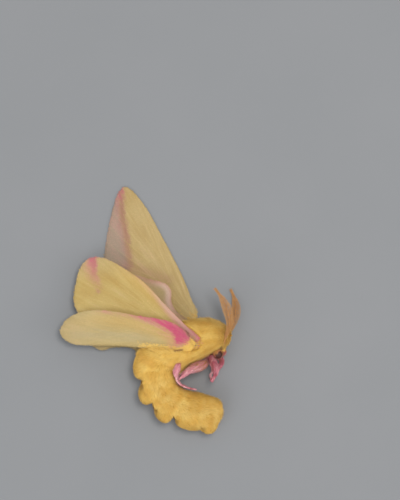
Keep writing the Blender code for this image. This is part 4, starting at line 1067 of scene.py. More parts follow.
def leg_marks(p):
    """Rose legs, deepest on the fore pair, paler on the shins of the hind pair."""
    deep = np.zeros(len(p))
    pale = np.zeros(len(p))
    d, _ = to_segments(p, np.array(LEGS["leg_fore_right"])[:, :3])
    deep = np.maximum(deep, np.exp(-(d / 0.6) ** 2))
    d, _ = to_segments(p, np.array(LEGS["leg_fore_left"])[:, :3])
    deep = np.maximum(deep, 0.7 * np.exp(-(d / 0.5) ** 2))
    for name, v in (("leg_hind_right", 0.85), ("leg_mid_left", 0.9), ("leg_hind_left", 0.5), ("leg_mid_right", 0.9)):
        d, w = to_segments(p, np.array(LEGS[name])[:, :3])
        along = 0.8 - 0.5 * smooth(w, 0.42, 0.62) + 0.35 * smooth(w, 0.8, 0.95) if name == "leg_mid_right" else 0.7 + 0.3 * smooth(w, 0.3, 0.8)
        pale = np.maximum(pale, v * np.exp(-(d / 0.6) ** 2) * along)
        if name == "leg_hind_right":
            deep = np.maximum(deep, 0.9 * np.exp(-(d / 0.4) ** 2) * smooth(w, 0.5, 0.72))
    # tan hair on the lower side of the middle thigh
    d, w = to_segments(p[:, :2], [(8.4, -7.2), (7.5, -8.0), (6.6, -8.3)])
    tan_and_shade = 0.9 * np.exp(-(d / 0.5) ** 2) * (1 - smooth(w, 0.6, 1.0)) * (1 - deep)
    # painted highlight: paler hair along the top of the middle thigh
    d, w = to_segments(p[:, :2], [(7.6, -7.15), (6.6, -7.6), (5.7, -8.0)])
    thigh_highlight = np.exp(-(d / 0.22) ** 2) * smooth(p[:, 2], 3.3, 3.8)
    # painted shadow: ochre hair in the groove between the middle leg and the breast
    d, _ = to_segments(p[:, :2], [(8.2, -6.5), (7.0, -6.95), (5.9, -7.5), (5.0, -8.0)])
    tan_and_shade = np.maximum(tan_and_shade, 0.8 * np.exp(-(d / 0.14) ** 2) * (1 - deep))
    # streaks of paler and deeper hair run along each leg
    streak, near = np.zeros(len(p)), np.full(len(p), 9.0)
    for i, (name, line) in enumerate(LEGS.items()):
        line = np.array(line)[:, :3]
        d, w = to_segments(p, line)
        k = np.clip(w * (len(line) - 1), 0, len(line) - 1.001).astype(int)
        way = unit(line[k + 1] - line[k])
        q = p - 0.8 * way * (p * way).sum(1, keepdims=True)
        streak = np.where(d < near, waves(q, 0.42, 300 + i), streak)
        near = np.minimum(near, d)
    pale = pale * (1 - 0.6 * deep) + 0.5 * thigh_highlight + 0.42 * streak
    return {"deep": np.clip(deep - 0.25 * streak, 0, 1), "pale": np.clip(pale, 0, 1), "tan_and_shade": np.clip(tan_and_shade - 0.2 * streak, 0, 1)}


# ------------------------------------------------------------------ scales of the wings
def vanes(name, w, face, count, long, wide, seed, up_tilt=0.07):
    """Flat overlapping scales, leaves with a low ridge, on one face of a wing."""
    rng = np.random.default_rng(seed)
    lo, hi = w.rim.min(0), w.rim.max(0)
    got = []
    need = count
    side = math.sqrt((hi[0] - lo[0]) * (hi[1] - lo[1]) / max(count * 1.9, 1))
    gx = np.arange(lo[0], hi[0], side)
    gy = np.arange(lo[1], hi[1], side)
    q = np.stack(np.meshgrid(gx, gy, indexing="ij"), -1).reshape(-1, 2)
    q = q + rng.uniform(-0.5, 0.5, q.shape) * side
    q = q[inside(q, w.rim) < -0.02]
    d = np.hypot(q[:, 0] - w.hinge[0], q[:, 1] - w.hinge[1])
    q = q[d > 0.8]
    z, half, vein = w.surface(q)
    e = 0.05
    zx, _, _ = w.surface(q + [e, 0])
    zy, _, _ = w.surface(q + [0, e])
    sign = 1.0 if face == "top" else -1.0
    nrm = unit(np.stack([-(zx - z) / e, -(zy - z) / e, np.ones(len(q))], 1)) * sign
    out = q - w.hinge
    out = unit(np.column_stack([out, np.zeros(len(q))]))
    out = unit(out - nrm * (out * nrm).sum(1, keepdims=True))
    wander = 0.07 * waves(q, 1.8, seed + 5) + 0.10 * rng.normal(size=len(q))
    out = rotate(out, nrm, wander)
    rise = up_tilt * (0.75 + 0.5 * rng.uniform(size=len(q)))
    d0 = unit(out * np.cos(rise)[:, None] + nrm * np.sin(rise)[:, None])
    across = unit(np.cross(nrm, d0))
    far = np.hypot(q[:, 0] - w.hinge[0], q[:, 1] - w.hinge[1])
    ln = long * rng.uniform(0.75, 1.25, len(q)) * (1 + 0.8 * (1 - smooth(far, 1.5, 5.0)))
    wd = wide * rng.uniform(0.75, 1.2, len(q)) * (1 - 0.35 * (1 - smooth(far, 1.5, 5.0)))
    base = np.column_stack([q, z]) + nrm * (half + 0.045 * vein - 0.012)[:, None]
    # leaf: foot, broad shoulders, tip, and a low ridge in the middle; the underside is flat
    t = np.array([0.0, 0.66, 0.66, 1.0, 0.6])
    a = np.array([0.0, -0.5, 0.5, 0.0, 0.0])
    h = np.array([0.0, 0.0, 0.0, 0.0, 0.0055])
    pts = (base[:, None] + d0[:, None] * (ln[:, None] * t[None])[..., None] + across[:, None] * (wd[:, None] * a[None])[..., None]
           + nrm[:, None] * h[None, :, None])
    m = pts.shape[1]
    n = len(q)
    tri = np.array([[0, 1, 4], [1, 3, 4], [3, 2, 4], [2, 0, 4], [0, 2, 1], [1, 2, 3]])
    flat = pts.reshape(-1, 3)
    flat[:, 2] = np.maximum(flat[:, 2], 0.001)
    ob = mesh_from(name, flat, [(tri[None] + (np.arange(n) * m)[:, None, None]).reshape(-1, 3)], h == 0)
    for k, v in marks(w.name, q).items():
        put(ob, k, np.repeat(v, m))
    put(ob, "vein", np.repeat(vein, m))
    tone = rng.uniform(-1, 1, n)
    put(ob, "tone", np.repeat(tone, m))
    uv = wing_uv(q, w, face)
    patch = np.stack([t, a + 0.5], 1) * 0.003
    put_uv(ob, (uv[:, None] * 0.996 + patch[None]).reshape(-1, 2))
    return ob


def wing_uv(q, w, face):
    lo, hi = w.rim.min(0) - 0.3, w.rim.max(0) + 0.3
    uv = (q - lo) / (hi - lo)
    uv[:, 0] = uv[:, 0] * 0.498 + (0.0 if face == "top" else 0.501)
    return uv


def fringe(name, w, per_mm, long, seed):
    """Hair-like scales along the margins of the wing, away from its hinge."""
    rng = np.random.default_rng(seed)
    ring = np.vstack([w.lead, w.trail[::-1]])
    seg = np.linalg.norm(np.diff(ring, axis=0), axis=1)
    run = np.concatenate([[0], np.cumsum(seg)])
    count = int(run[-1] * per_mm)
    at = (np.arange(count) + rng.uniform(0, 1, count)) / count * run[-1]
    q = np.stack([np.interp(at, run, ring[:, j]) for j in (0, 1)], 1)
    t = unit(np.stack([np.interp(at + 0.15, run, ring[:, j]) - np.interp(at - 0.15, run, ring[:, j]) for j in (0, 1)], 1))
    nr = np.stack([t[:, 1], -t[:, 0]], 1)
    probe = inside(q + nr * 0.08, w.rim)
    nr = np.where((probe < 0)[:, None], -nr, nr)
    far = np.hypot(q[:, 0] - w.hinge[0], q[:, 1] - w.hinge[1])
    keep = far > 1.4
    q, nr, far, at = q[keep], nr[keep], far[keep], at[keep]
    n = len(q)
    z, half, _ = w.surface(q)
    out = unit(q - w.hinge)
    # the leading edge carries short scales lying along it, the outer margin a longer comb
    lead = at < run[len(w.lead) - 1] * 0.93
    d = unit(nr * np.where(lead, 0.55, 1.0)[:, None] + out * np.where(lead, 0.8, 0.25)[:, None])
    d = np.column_stack([d, np.zeros(n)])
    lift = np.column_stack([np.zeros((n, 2)), rng.normal(size=n) * 0.10])
    ln = np.where(lead, long * 0.75, long) * rng.uniform(0.7, 1.15, n) * smooth(far, 1.0, 3.0)
    root = np.column_stack([q - nr * 0.06, z + rng.uniform(-0.5, 0.5, n) * half])
    up = np.column_stack([np.zeros((n, 2)), np.ones(n)])
    tone = rng.uniform(-1, 1, n)
    mk = marks(w.name, q)
    mk["vein"] = np.zeros(n)
    uv = wing_uv(q, w, "top")
    return coat(name, root, unit(d + lift), unit(d + lift * 1.5), up, ln, rng.uniform(0.05, 0.09, n), uv, tone, mk,
                pressed=False, thick=0.35)


def shoulder(name, w, count, seed):
    """Long hair over the base of a wing and over the part of its inner margin that lies on the body."""
    rng = np.random.default_rng(seed)
    lo, hi = w.rim.min(0), w.rim.max(0)
    q = rng.uniform(lo, hi, (count * 14, 2))
    d = inside(q, w.rim)
    far = np.hypot(q[:, 0] - w.hinge[0], q[:, 1] - w.hinge[1])
    trail, at = to_segments(q, w.trail)
    on_body = (np.interp(q[:, 0], [-1.0, 0.4, 1.6, 2.8], [0.0, 0.3, 0.7, 1.0]) if name == "wing_hind_right" else
               np.interp(at, [0, 0.2], [0.7, 0.0]))
    near = {"wing_hind_right": (0.5, 1.5), "wing_fore_right": (0.35, 1.15)}.get(name, (0.5, 1.7))
    chance = np.maximum((1 - smooth(far, *near)) ** 1.5, on_body * (1 - smooth(trail, 0.05, 0.75)) ** 1.3)
    keep = (d < 0.02) & (rng.uniform(size=len(q)) < chance)
    q = q[keep][:count]
    far = np.hypot(q[:, 0] - w.hinge[0], q[:, 1] - w.hinge[1])
    n = len(q)
    z, half, _ = w.surface(q)
    e = 0.05
    zx, zy = w.surface(q + [e, 0])[0], w.surface(q + [0, e])[0]
    nrm = unit(np.stack([-(zx - z) / e, -(zy - z) / e, np.ones(n)], 1))
    out = unit(np.column_stack([q - w.hinge, np.zeros(n)]) + np.array([-0.9, -0.25, 0.0]))
    out = unit(out - nrm * (out * nrm).sum(1, keepdims=True))
    out = rotate(out, nrm, 0.14 * rng.normal(size=n) + 0.15 * waves(q, 1.5, seed))
    rise = np.radians(rng.uniform(5, 20, n))
    d0 = unit(out * np.cos(rise)[:, None] + nrm * np.sin(rise)[:, None])
    d1 = unit(out + nrm * rng.normal(0.02, 0.06, n)[:, None])
    root = np.column_stack([q, z + half]) - nrm * 0.02
    mk = marks(w.name, q)
    trail, _ = to_segments(q, w.trail)
    left = "left" in name
    # hair at the base of the left wings, which lie under the right ones, gets painted shade
    masks = {"pink": np.clip(mk["pink"] * 1.05, 0, 1) * (1 - 0.75 * (1 - smooth(far, 0.2, 0.7))), "gold_and_shade": np.full(n, 0.35 if left else 0.1),
             "pale": 0.15 + 0.35 * smooth(far, 1.0, 5.0), "shade": np.clip(mk["dusk_and_shade"] * 0.6 + (0.35 if left else 0.0), 0, 1)}
    if not left:
        # painted shade: the dark line of the fold below the wing runs over this hair too
        masks["crease_shade"] = np.exp(-(to_segments(root[:, :2] + d0[:, :2] * 0.28, FOLD)[0] / 0.085) ** 2)
    length = rng.uniform(0.4, 0.75, n) * (1 - 0.35 * smooth(far, *near)) * (1 - 0.2 * left)
    return coat(name + "_base_fur", root, d0, d1, nrm, length, rng.uniform(0.05, 0.085, n), wing_uv(q, w, "top"),
                rng.uniform(-1, 1, n), masks, pressed=False)


def lashes(name, per_eye, seed=431):
    """Hair round the rim of each eye, that leans over the eye and leaves its middle bare."""
    rng = np.random.default_rng(seed)
    out = {k: [] for k in ("root", "d0", "d1", "up", "length", "uv", "front")}
    for k, c in enumerate(EYES.values()):
        axis = unit(c - HEAD)
        a1 = unit(FACE - axis * (FACE @ axis))
        a2 = unit(CROWN - axis * (CROWN @ axis) - a1 * (CROWN @ a1))
        a = rng.uniform(0, 2 * np.pi, per_eye)
        r = rng.uniform(0.56, 0.70, per_eye)
        rad = a1 * np.cos(a)[:, None] + a2 * np.sin(a)[:, None]
        over = smooth(-np.cos(a - 0.5), 0.0, 0.7) * (0.62 + 0.2 * np.sin(a * 3.0 + 1.0)) * rng.uniform(0.3, 1.2, per_eye)
        root = c + rad * r[:, None] - axis * (rng.uniform(0.12, 0.34, per_eye) * (1 - 0.6 * over.clip(0, 1)))[:, None]
        lean = 0.30 + 0.22 * smooth(np.cos(a), 0.3, 0.9) + 0.8 * over
        out["root"].append(root)
        out["d0"].append(unit(axis + rad * (rng.uniform(-0.05, 0.35, per_eye) * (1 - over) - 0.25 * over)[:, None]))
        out["d1"].append(unit(axis * 0.8 - rad * lean[:, None] + 0.12 * rng.normal(size=root.shape)))
        out["up"].append(rad)
        bare = np.exp(-((a - 1.9) / 0.5) ** 2)
        out["length"].append(rng.uniform(0.30, 0.52, per_eye) * (1 - 0.5 * bare) * (1 + 0.75 * over))
        out["uv"].append(np.stack([(k + a / (2 * np.pi)) / 2, (r - 0.5) / 0.21], 1))
        out["front"].append(np.maximum(smooth(np.cos(a), 0.1, 0.7), 0.62 * smooth(-np.sin(a - 0.3), -0.2, 0.6)))
    o = {k: np.concatenate(v) for k, v in out.items()}
    n = len(o["root"])
    d, _ = to_segments(o["root"][:, :2], [(8.3, -6.35), (8.8, -6.0), (9.3, -5.75)])
    cheek = np.exp(-(d / 0.42) ** 2)
    masks = {"pink": np.maximum(np.maximum(0.9 * o["front"], 0.85 * cheek), 0.40), "gold_and_shade": 0.3 * np.ones(n), "pale": np.zeros(n),
             "shade": 0.75 * np.ones(n)}
    return coat(name, o["root"], o["d0"], o["d1"], o["up"], o["length"], rng.uniform(0.032, 0.054, n), o["uv"],
                rng.uniform(-1, 1, n), masks, pressed=False)


def body_top(q):
    """Height of the coat's upper surface over points in the plane, and whether they lie over the body."""
    k, c = _S[::10], _C[::10]
    near = np.argmin(((q[:, None] - c[None]) ** 2).sum(2), axis=1)
    s = k[near]
    _, _, out = spine(s)
    across = ((q - c[near]) * out).sum(1)
    mix = smooth(s, -0.9, 0.7)
    back = through(BACK_T, s) * (1 - mix) + through(BACK_A, s) * mix
    belly = through(BELLY_T, s) * (1 - mix) + through(BELLY_A, s) * mix
    wide = np.where(across > 0, back, belly)
    t = np.abs(across) / wide
    high = through(HEIGHT, s)
    return high - FLAT + high * np.clip(1 - t**SQUARE, 0, None) ** (1 / SQUARE), t < 0.97


def collar(name, w, count, seed, edges):
    """Hair of the breast that rises beside the base of a wing and falls over its edge."""
    rng = np.random.default_rng(seed)
    out = {k: [] for k in ("root", "d0", "d1", "uv")}
    for i, (line, t0, t1) in enumerate(edges):
        n = count
        t = rng.uniform(t0, t1, n)
        k = t * (len(line) - 1)
        q = np.stack([np.interp(k, np.arange(len(line)), line[:, j]) for j in (0, 1)], 1)
        t2 = np.stack([np.interp(k + 1, np.arange(len(line)), line[:, j]) for j in (0, 1)], 1) - q
        t2 = unit(t2)
        nr = np.stack([t2[:, 1], -t2[:, 0]], 1)
        nr = np.where((inside(q + nr * 0.1, w.rim) < 0)[:, None], -nr, nr)
        off = rng.uniform(-0.05, 0.62, n)
        p = q + nr * (off + FRINGE * 0.8)[:, None]
        top, over = body_top(p)
        z = np.minimum(top - 0.30, w.height(q[:, 0], q[:, 1]) - 0.05 + 1.3 * np.clip(off, 0, None))
        keep = over & (top > w.height(q[:, 0], q[:, 1]) - 0.35)
        inward = -np.column_stack([nr, np.zeros(n)])
        along = np.column_stack([t2, np.zeros(n)])
        upw = np.array([0.0, 0.0, 1.0])
        d0 = unit(inward * rng.uniform(0.1, 0.5, n)[:, None] + along * 0.75 + upw * rng.uniform(0.35, 0.8, n)[:, None])
        d1 = unit(inward * rng.uniform(0.15, 0.5, n)[:, None] + along * 0.9 - upw * 0.05 + 0.1 * rng.normal(size=(n, 3)))
        out["root"].append(np.column_stack([p, z])[keep])
        out["d0"].append(d0[keep])
        out["d1"].append(d1[keep])
        out["uv"].append(np.stack([(i + t / t1) / 2, np.clip(off + 0.1, 0, 1)], 1)[keep])
    o = {k: np.concatenate(v) for k, v in out.items()}
    n = len(o["root"])
    up = np.tile([0.0, 0.0, 1.0], (n, 1)) + 0.05 * rng.normal(size=(n, 3))
    mid = o["root"] + (o["d0"] * 0.7 + o["d1"] * 0.3) * 0.4
    slit, _ = to_segments(mid[:, :2], FOLD)
    # painted shade round the fold below the wing, darkest along its line
    masks = {"pink": np.zeros(n), "gold_and_shade": np.zeros(n), "pale": rng.uniform(0.0, 0.4, n), "shade": np.exp(-(slit / 0.2) ** 2),
             "crease_shade": np.exp(-(slit / 0.09) ** 2)}
    keep = slit > 0.04
    o, up, n = {k: v[keep] for k, v in o.items()}, up[keep], int(keep.sum())
    masks = {k: v[keep] for k, v in masks.items()}
    return coat(name + "_collar", o["root"], o["d0"], o["d1"], up, rng.uniform(0.45, 0.85, n), rng.uniform(0.05, 0.085, n),
                o["uv"], rng.uniform(-1, 1, n), masks, pressed=False)


# ------------------------------------------------------------------ antennae, eyes, claws, mouth
def merge(name, parts, attrs=None):
    """Several closed shells in one object."""
    verts, faces, at = [], [], 0
    for v, fs in parts:
        verts.append(v)
        faces += [np.asarray(f) + at for f in fs]
        at += len(v)
    ob = mesh_from(name, np.vstack(verts), faces)
    bm = bmesh.new()
    bm.from_mesh(ob.data)
    bmesh.ops.recalc_face_normals(bm, faces=bm.faces[:])
    bm.to_mesh(ob.data)
    bm.free()
    for k, v in (attrs or {}).items():
        put(ob, k, v)
    return ob


def antenna(side):
    """Feathered feeler: a shaft with a double row of branches."""
    rng = np.random.default_rng(301 + len(side))
    n = 150
    p = curve(ANTENNAE[side], n)
    t = np.linspace(0, 1, n)
    d = unit(np.gradient(p[:, :3], axis=0))
    out = unit(np.cross(d, np.array([0, 0, 1.0])))
    top = np.cross(out, d)
    shaft = p.copy()
    shaft[:, 3] = np.interp(t, [0, 0.03, 0.08, 0.12, 1], [0.15, 0.17, 0.13, 0.085, 0.028]) * (1 + 0.07 * np.sin(t * 210))
    shaft[-1, 3] = 0.01
    parts = [tube("shaft", limb_rings(shaft, 10))]
    rows = 34
    for i in range(rows):
        at = 0.11 + 0.85 * i / (rows - 1)
        k = at * (n - 1)
        here = lambda v: np.array([np.interp(k, np.arange(n), v[:, j]) for j in range(v.shape[1])])
        c, dd, oo, tt = here(p), unit(here(d)), unit(here(out)), unit(here(top))
        for sgn in (1, -1):
            for tier in (0, 1):
                if tier and not 0.12 < at < 0.74:
                    continue
                slope = math.radians(38 + 10 * tier + rng.uniform(-4, 4))
                reach = max(c[3] - 0.06, 0.05) / math.cos(slope) * (0.93 if tier else 1.0) * rng.uniform(0.94, 1.03)
                m = 7
                u = np.linspace(0, 1, m)
                a = oo * sgn * math.cos(slope) + dd * math.sin(slope)
                # the branches bow towards the tip, and the second tier sits a little lower
                q = c[:3] + reach * (u[:, None] * a + (0.16 * u**2)[:, None] * dd - (0.10 * np.sin(u * np.pi) + 0.14 * tier * u)[:, None] * tt)
                r = np.interp(u, [0, 0.75, 1], [0.030, 0.020, 0.008])
                q[:, 2] = np.maximum(q[:, 2], 0.03)
                parts.append(tube("ramus", limb_rings(np.column_stack([q, r]), 5)))
    ob = merge("antenna_" + side + "_look", parts)
    co = design(ob)
    _, w = to_segments(co, p[:, :3])
    dist, _ = to_segments(co, p[:, :3])
    put(ob, "far", smooth(dist, 0.05, 0.6))
    put(ob, "tone", waves(co, 0.5, 12))
    return ob


def antenna_coat(side):
    """Lashes of the branches and the short scales of the shaft."""
    rng = np.random.default_rng(350 + len(side))
    n = 150
    p = curve(ANTENNAE[side], n)
    d = unit(np.gradient(p[:, :3], axis=0))
    out = unit(np.cross(d, np.array([0, 0, 1.0])))
    top = np.cross(out, d)
    count = 2600
    k = rng.uniform(0.10, 0.97, count) * (n - 1)
    here = lambda v: np.stack([np.interp(k, np.arange(n), v[:, j]) for j in range(v.shape[1])], 1)
    c, dd, oo, tt = here(p), unit(here(d)), unit(here(out)), unit(here(top))
    sgn = rng.choice([-1.0, 1.0], count)
    slope = np.radians(40 + rng.uniform(-5, 5, count))
    a = oo * (sgn * np.cos(slope))[:, None] + dd * np.sin(slope)[:, None]
    u = rng.uniform(0.05, 0.9, count)
    reach = np.clip(c[:, 3] - 0.10, 0.04, None) / np.cos(slope)
    root = c[:, :3] + (reach * u)[:, None] * a + (0.16 * u**2 * reach)[:, None] * dd - (0.1 * np.sin(u * np.pi) * reach)[:, None] * tt
    go = unit(dd * 0.8 + oo * (sgn * 0.55)[:, None] + tt * rng.normal(0, 0.22, count)[:, None])
    near = u < 0.2
    go[near] = unit(dd[near] + oo[near] * (sgn[near] * 0.3)[:, None] + tt[near] * 0.35)
    root[:, 2] = np.maximum(root[:, 2], 0.02)
    up = tt
    uv = np.stack([k / n, 0.5 + 0.48 * sgn * u], 1)
    return coat("antenna_" + side + "_lashes", root, go, unit(go + dd * 0.3), up, rng.uniform(0.09, 0.16, count),
                rng.uniform(0.016, 0.028, count), uv, rng.uniform(-1, 1, count), {"far": u}, pressed=False)


def eye(side):
    n, m = 44, 64
    c = EYES[side]
    axis = unit(c - HEAD)
    a1 = unit(FACE - axis * (FACE @ axis))
    a2 = np.cross(axis, a1)
    t = np.pi * (0.01 + 0.98 * np.arange(n) / (n - 1))
    a = 2 * np.pi * np.arange(m) / m
    tt, aa = np.meshgrid(t, a, indexing="ij")
    r = 0.545
    q = c + axis * (-np.cos(tt) * r * 0.93)[..., None] + a1 * (r * np.sin(tt) * np.cos(aa))[..., None] \
        + a2 * (r * 1.02 * np.sin(tt) * np.sin(aa))[..., None]
    return merge("eye_" + side + "_look", [tube("eye", q)])


def claws():
    """A pair of hooks at the end of every foot, and spurs on the shins of the middle and hind legs."""
    parts = []
    for name in LEGS:
        p = leg_path(name, 160)
        d = unit(p[-1, :3] - p[-6, :3])
        side = unit(np.cross(d, np.array([0, 0, 1.0])))
        down = np.cross(side, d)
        for sgn in (1, -1):
            u = np.linspace(0, 1, 8)
            q = p[-3, :3] + (0.17 * u)[:, None] * d + (sgn * (0.03 + 0.05 * u))[:, None] * side - (0.09 * u**2)[:, None] * down
            q[:, 2] = np.maximum(q[:, 2], 0.03)
            parts.append(tube("claw", limb_rings(np.column_stack([q, np.interp(u, [0, 1], [0.03, 0.006])]), 6)))
        if "fore" not in name:
            k = int(160 * 0.60)
            c, dd = p[k, :3], unit(p[k + 2, :3] - p[k - 2, :3])
            s2 = unit(np.cross(dd, np.array([0, 0, 1.0])))
            for sgn, ln in ((1, 0.34), (-1, 0.26)):
                u = np.linspace(0, 1, 7)
                q = c + (ln * u)[:, None] * unit(dd + s2 * sgn * 0.55) + (0.05 * np.sin(u * 3))[:, None] * s2 * sgn
                q[:, 2] = np.maximum(q[:, 2], 0.03)
                parts.append(tube("spur", limb_rings(np.column_stack([q, np.interp(u, [0, 0.5, 1], [0.03, 0.028, 0.006])]), 6)))
    return merge("claws", parts)


# ------------------------------------------------------------------ materials
def lin(r, g, b):
    f = lambda c: c / 12.92 if c <= 0.04045 else ((c + 0.055) / 1.055) ** 2.4
    return (f(r / 255), f(g / 255), f(b / 255), 1.0)


class Nodes:
    def __init__(self, name):
        self.mat = bpy.data.materials.new(name)
        self.mat.use_nodes = True
        self.t = self.mat.node_tree
        self.t.nodes.clear()
        self.out = self.t.nodes.new("ShaderNodeOutputMaterial")
        self.bsdf = self.t.nodes.new("ShaderNodeBsdfPrincipled")
        self.t.links.new(self.bsdf.outputs[0], self.out.inputs["Surface"])

    def put_in(self, socket, v):
        if isinstance(v, bpy.types.NodeSocket):
            self.t.links.new(v, socket)
        else:
            socket.default_value = v

    def attr(self, name):
        n = self.t.nodes.new("ShaderNodeAttribute")
        n.attribute_type, n.attribute_name = "GEOMETRY", name
        return n.outputs["Fac"]

    def place(self):
        n = self.t.nodes.new("ShaderNodeTexCoord")
        return n.outputs["Object"]

    def noise(self, scale, detail=3.0, rough=0.55, vector=None, stretch=None):
        n = self.t.nodes.new("ShaderNodeTexNoise")
        n.inputs["Scale"].default_value = scale
        n.inputs["Detail"].default_value = detail
        n.inputs["Roughness"].default_value = rough
        v = vector or self.place()
        if stretch is not None:
            m = self.t.nodes.new("ShaderNodeMapping")
            m.inputs["Scale"].default_value = stretch
            self.t.links.new(v, m.inputs["Vector"])
            v = m.outputs[0]
        self.t.links.new(v, n.inputs["Vector"])
        return n.outputs["Fac"]

    def math(self, op, a, b=0.0, c=None, clamp=False):
        n = self.t.nodes.new("ShaderNodeMath")
        n.operation, n.use_clamp = op, clamp
        self.put_in(n.inputs[0], a)
        self.put_in(n.inputs[1], b)
        if c is not None:
            self.put_in(n.inputs[2], c)
        return n.outputs[0]

    def mix(self, f, a, b, kind="MIX"):
        n = self.t.nodes.new("ShaderNodeMix")
        n.data_type, n.blend_type = "RGBA", kind
        self.put_in(n.inputs[0], f)
        self.put_in(n.inputs[6], a)
        self.put_in(n.inputs[7], b)
        return n.outputs[2]

    def bump(self, height, strength, distance, under=None):
        n = self.t.nodes.new("ShaderNodeBump")
        n.inputs["Strength"].default_value = strength
        n.inputs["Distance"].default_value = distance
        self.put_in(n.inputs["Height"], height)
        if under is not None:
            self.t.links.new(under, n.inputs["Normal"])
        return n.outputs[0]

    def finish(self, color, rough, normal=None, sheen=0.0, tint=(1, 1, 1, 1), spec=0.3, coat=0.0):
        b = self.bsdf
        self.put_in(b.inputs["Base Color"], color)
        self.put_in(b.inputs["Roughness"], rough)
        b.inputs["Specular IOR Level"].default_value = spec
        b.inputs["Sheen Weight"].default_value = sheen
        b.inputs["Sheen Roughness"].default_value = 0.5
        b.inputs["Sheen Tint"].default_value = tint
        b.inputs["Coat Weight"].default_value = coat
        b.inputs["Coat Roughness"].default_value = 0.08
        if normal is not None:
            self.t.links.new(normal, b.inputs["Normal"])
        return self.mat


YELLOW, YELLOW_DEEP, YELLOW_PALE = lin(234, 196, 93), lin(219, 170, 70), lin(240, 212, 130)
GOLD_AND_SHADE, OCHRE_SHADE = lin(203, 156, 62), lin(164, 110, 46)
ROSE, ROSE_DEEP = lin(224, 108, 134), lin(164, 62, 82)


def body_material(name, fur):
    """Fur and the skin under it: the same markings from the same masks."""
    m = Nodes(name)
    tone = m.attr("tone")
    blotch = m.noise(420.0, 4.0, 0.6)
    fine = m.noise(5200.0, 2.0, 0.5)
    yel = m.mix(m.math("MULTIPLY_ADD", m.attr("stroke"), 0.32, m.math("MULTIPLY_ADD", blotch, 0.8, 0.08), clamp=True), YELLOW_DEEP, YELLOW)
    yel = m.mix(m.math("MULTIPLY_ADD", m.attr("stroke"), 0.22, m.math("MULTIPLY", m.attr("pale"), 0.8), clamp=True), yel, YELLOW_PALE)
    # deeper gold: the hair's own colour, and painted shade on the curving lobes
    yel = m.mix(m.math("MULTIPLY", m.attr("gold_and_shade"), 0.85), yel, GOLD_AND_SHADE)
    # ochre by the shade mask: painted shade in notches, grooves and the fold, and the browner hair of the cheek and eye
    # rims
    yel = m.mix(m.math("MULTIPLY", m.attr("shade"), 0.8), yel, OCHRE_SHADE)
    # painted shade: dark brown in the fold below the wing and the parting above the eye
    yel = m.mix(m.math("MULTIPLY", m.attr("crease_shade"), 0.95, clamp=True), yel, lin(98, 54, 30))
    ros = m.mix(m.math("MULTIPLY_ADD", blotch, 1.2, -0.2, clamp=True), ROSE_DEEP, ROSE)
    edge = m.math("MULTIPLY_ADD", tone, 0.18, m.attr("pink"))
    col = m.mix(m.math("MULTIPLY_ADD", edge, 1.6, -0.35, clamp=True), yel, ros)
    if fur:
        tip = m.attr("tip")
        # painted shade: each lock darkens towards its root
        dark = m.mix(1.0, col, (0.74, 0.64, 0.52, 1.0), "MULTIPLY")
        col = m.mix(m.math("MULTIPLY_ADD", tip, 1.35, 0.12, clamp=True), dark, col)
        pale = m.mix(0.5, col, (1.0, 0.93, 0.72, 1.0))
        col = m.mix(m.math("MULTIPLY", m.math("POWER", tip, 3.0), 0.16), col, pale)
        light = m.math("MULTIPLY_ADD", tone, 0.09, 1.0)
        hue = m.t.nodes.new("ShaderNodeHueSaturation")
        m.put_in(hue.inputs["Value"], light)
        m.put_in(hue.inputs["Color"], col)
        rough = m.math("MULTIPLY_ADD", fine, 0.25, 0.52, clamp=True)
        nrm = m.bump(fine, 0.25, 0.00001)
        return m.finish(hue.outputs[0], rough, nrm, sheen=0.35, tint=lin(255, 226, 160), spec=0.28)
    # painted shade: the skin under the coat is darkened
    dark = m.mix(0.75, col, (0.70, 0.58, 0.46, 1.0), "MULTIPLY")
    rough = m.math("MULTIPLY_ADD", fine, 0.2, 0.68, clamp=True)
    nrm = m.bump(m.noise(9000.0, 3.0, 0.7), 0.6, 0.00004, m.bump(blotch, 0.3, 0.0001))
    return m.finish(dark, rough, nrm, sheen=0.15, tint=lin(255, 226, 160), spec=0.2)


def leg_material(name):
    m = Nodes(name)
    tone = m.attr("tone")
    blotch = m.noise(1500.0, 3.0, 0.6)
    col = m.mix(m.math("MULTIPLY_ADD", blotch, 1.4, -0.2, clamp=True), lin(200, 94, 118), lin(228, 136, 154))
    col = m.mix(m.math("MULTIPLY", m.attr("deep"), 0.8), col, lin(168, 76, 90))
    # paler hair, with a painted highlight along the top of the middle thigh
    col = m.mix(m.math("MULTIPLY", m.attr("pale"), 0.85), col, lin(244, 196, 196))
    # tan hair, and painted shadow in the groove against the breast
    col = m.mix(m.math("MULTIPLY", m.attr("tan_and_shade"), 0.7), col, lin(214, 164, 128))
    tip = m.attr("tip")
    # painted shade: each hair darkens towards its root
    dark = m.mix(1.0, col, (0.56, 0.44, 0.46, 1.0), "MULTIPLY")
    col = m.mix(m.math("MULTIPLY_ADD", tip, 1.3, 0.15, clamp=True), dark, col)
    hue = m.t.nodes.new("ShaderNodeHueSaturation")
    m.put_in(hue.inputs["Value"], m.math("MULTIPLY_ADD", tone, 0.2, 1.04))
    m.put_in(hue.inputs["Color"], col)
    return m.finish(hue.outputs[0], m.math("MULTIPLY_ADD", blotch, 0.3, 0.45, clamp=True),
                    m.bump(m.noise(7000.0, 2.0), 0.3, 0.00001), sheen=0.3, tint=lin(255, 200, 190), spec=0.3)


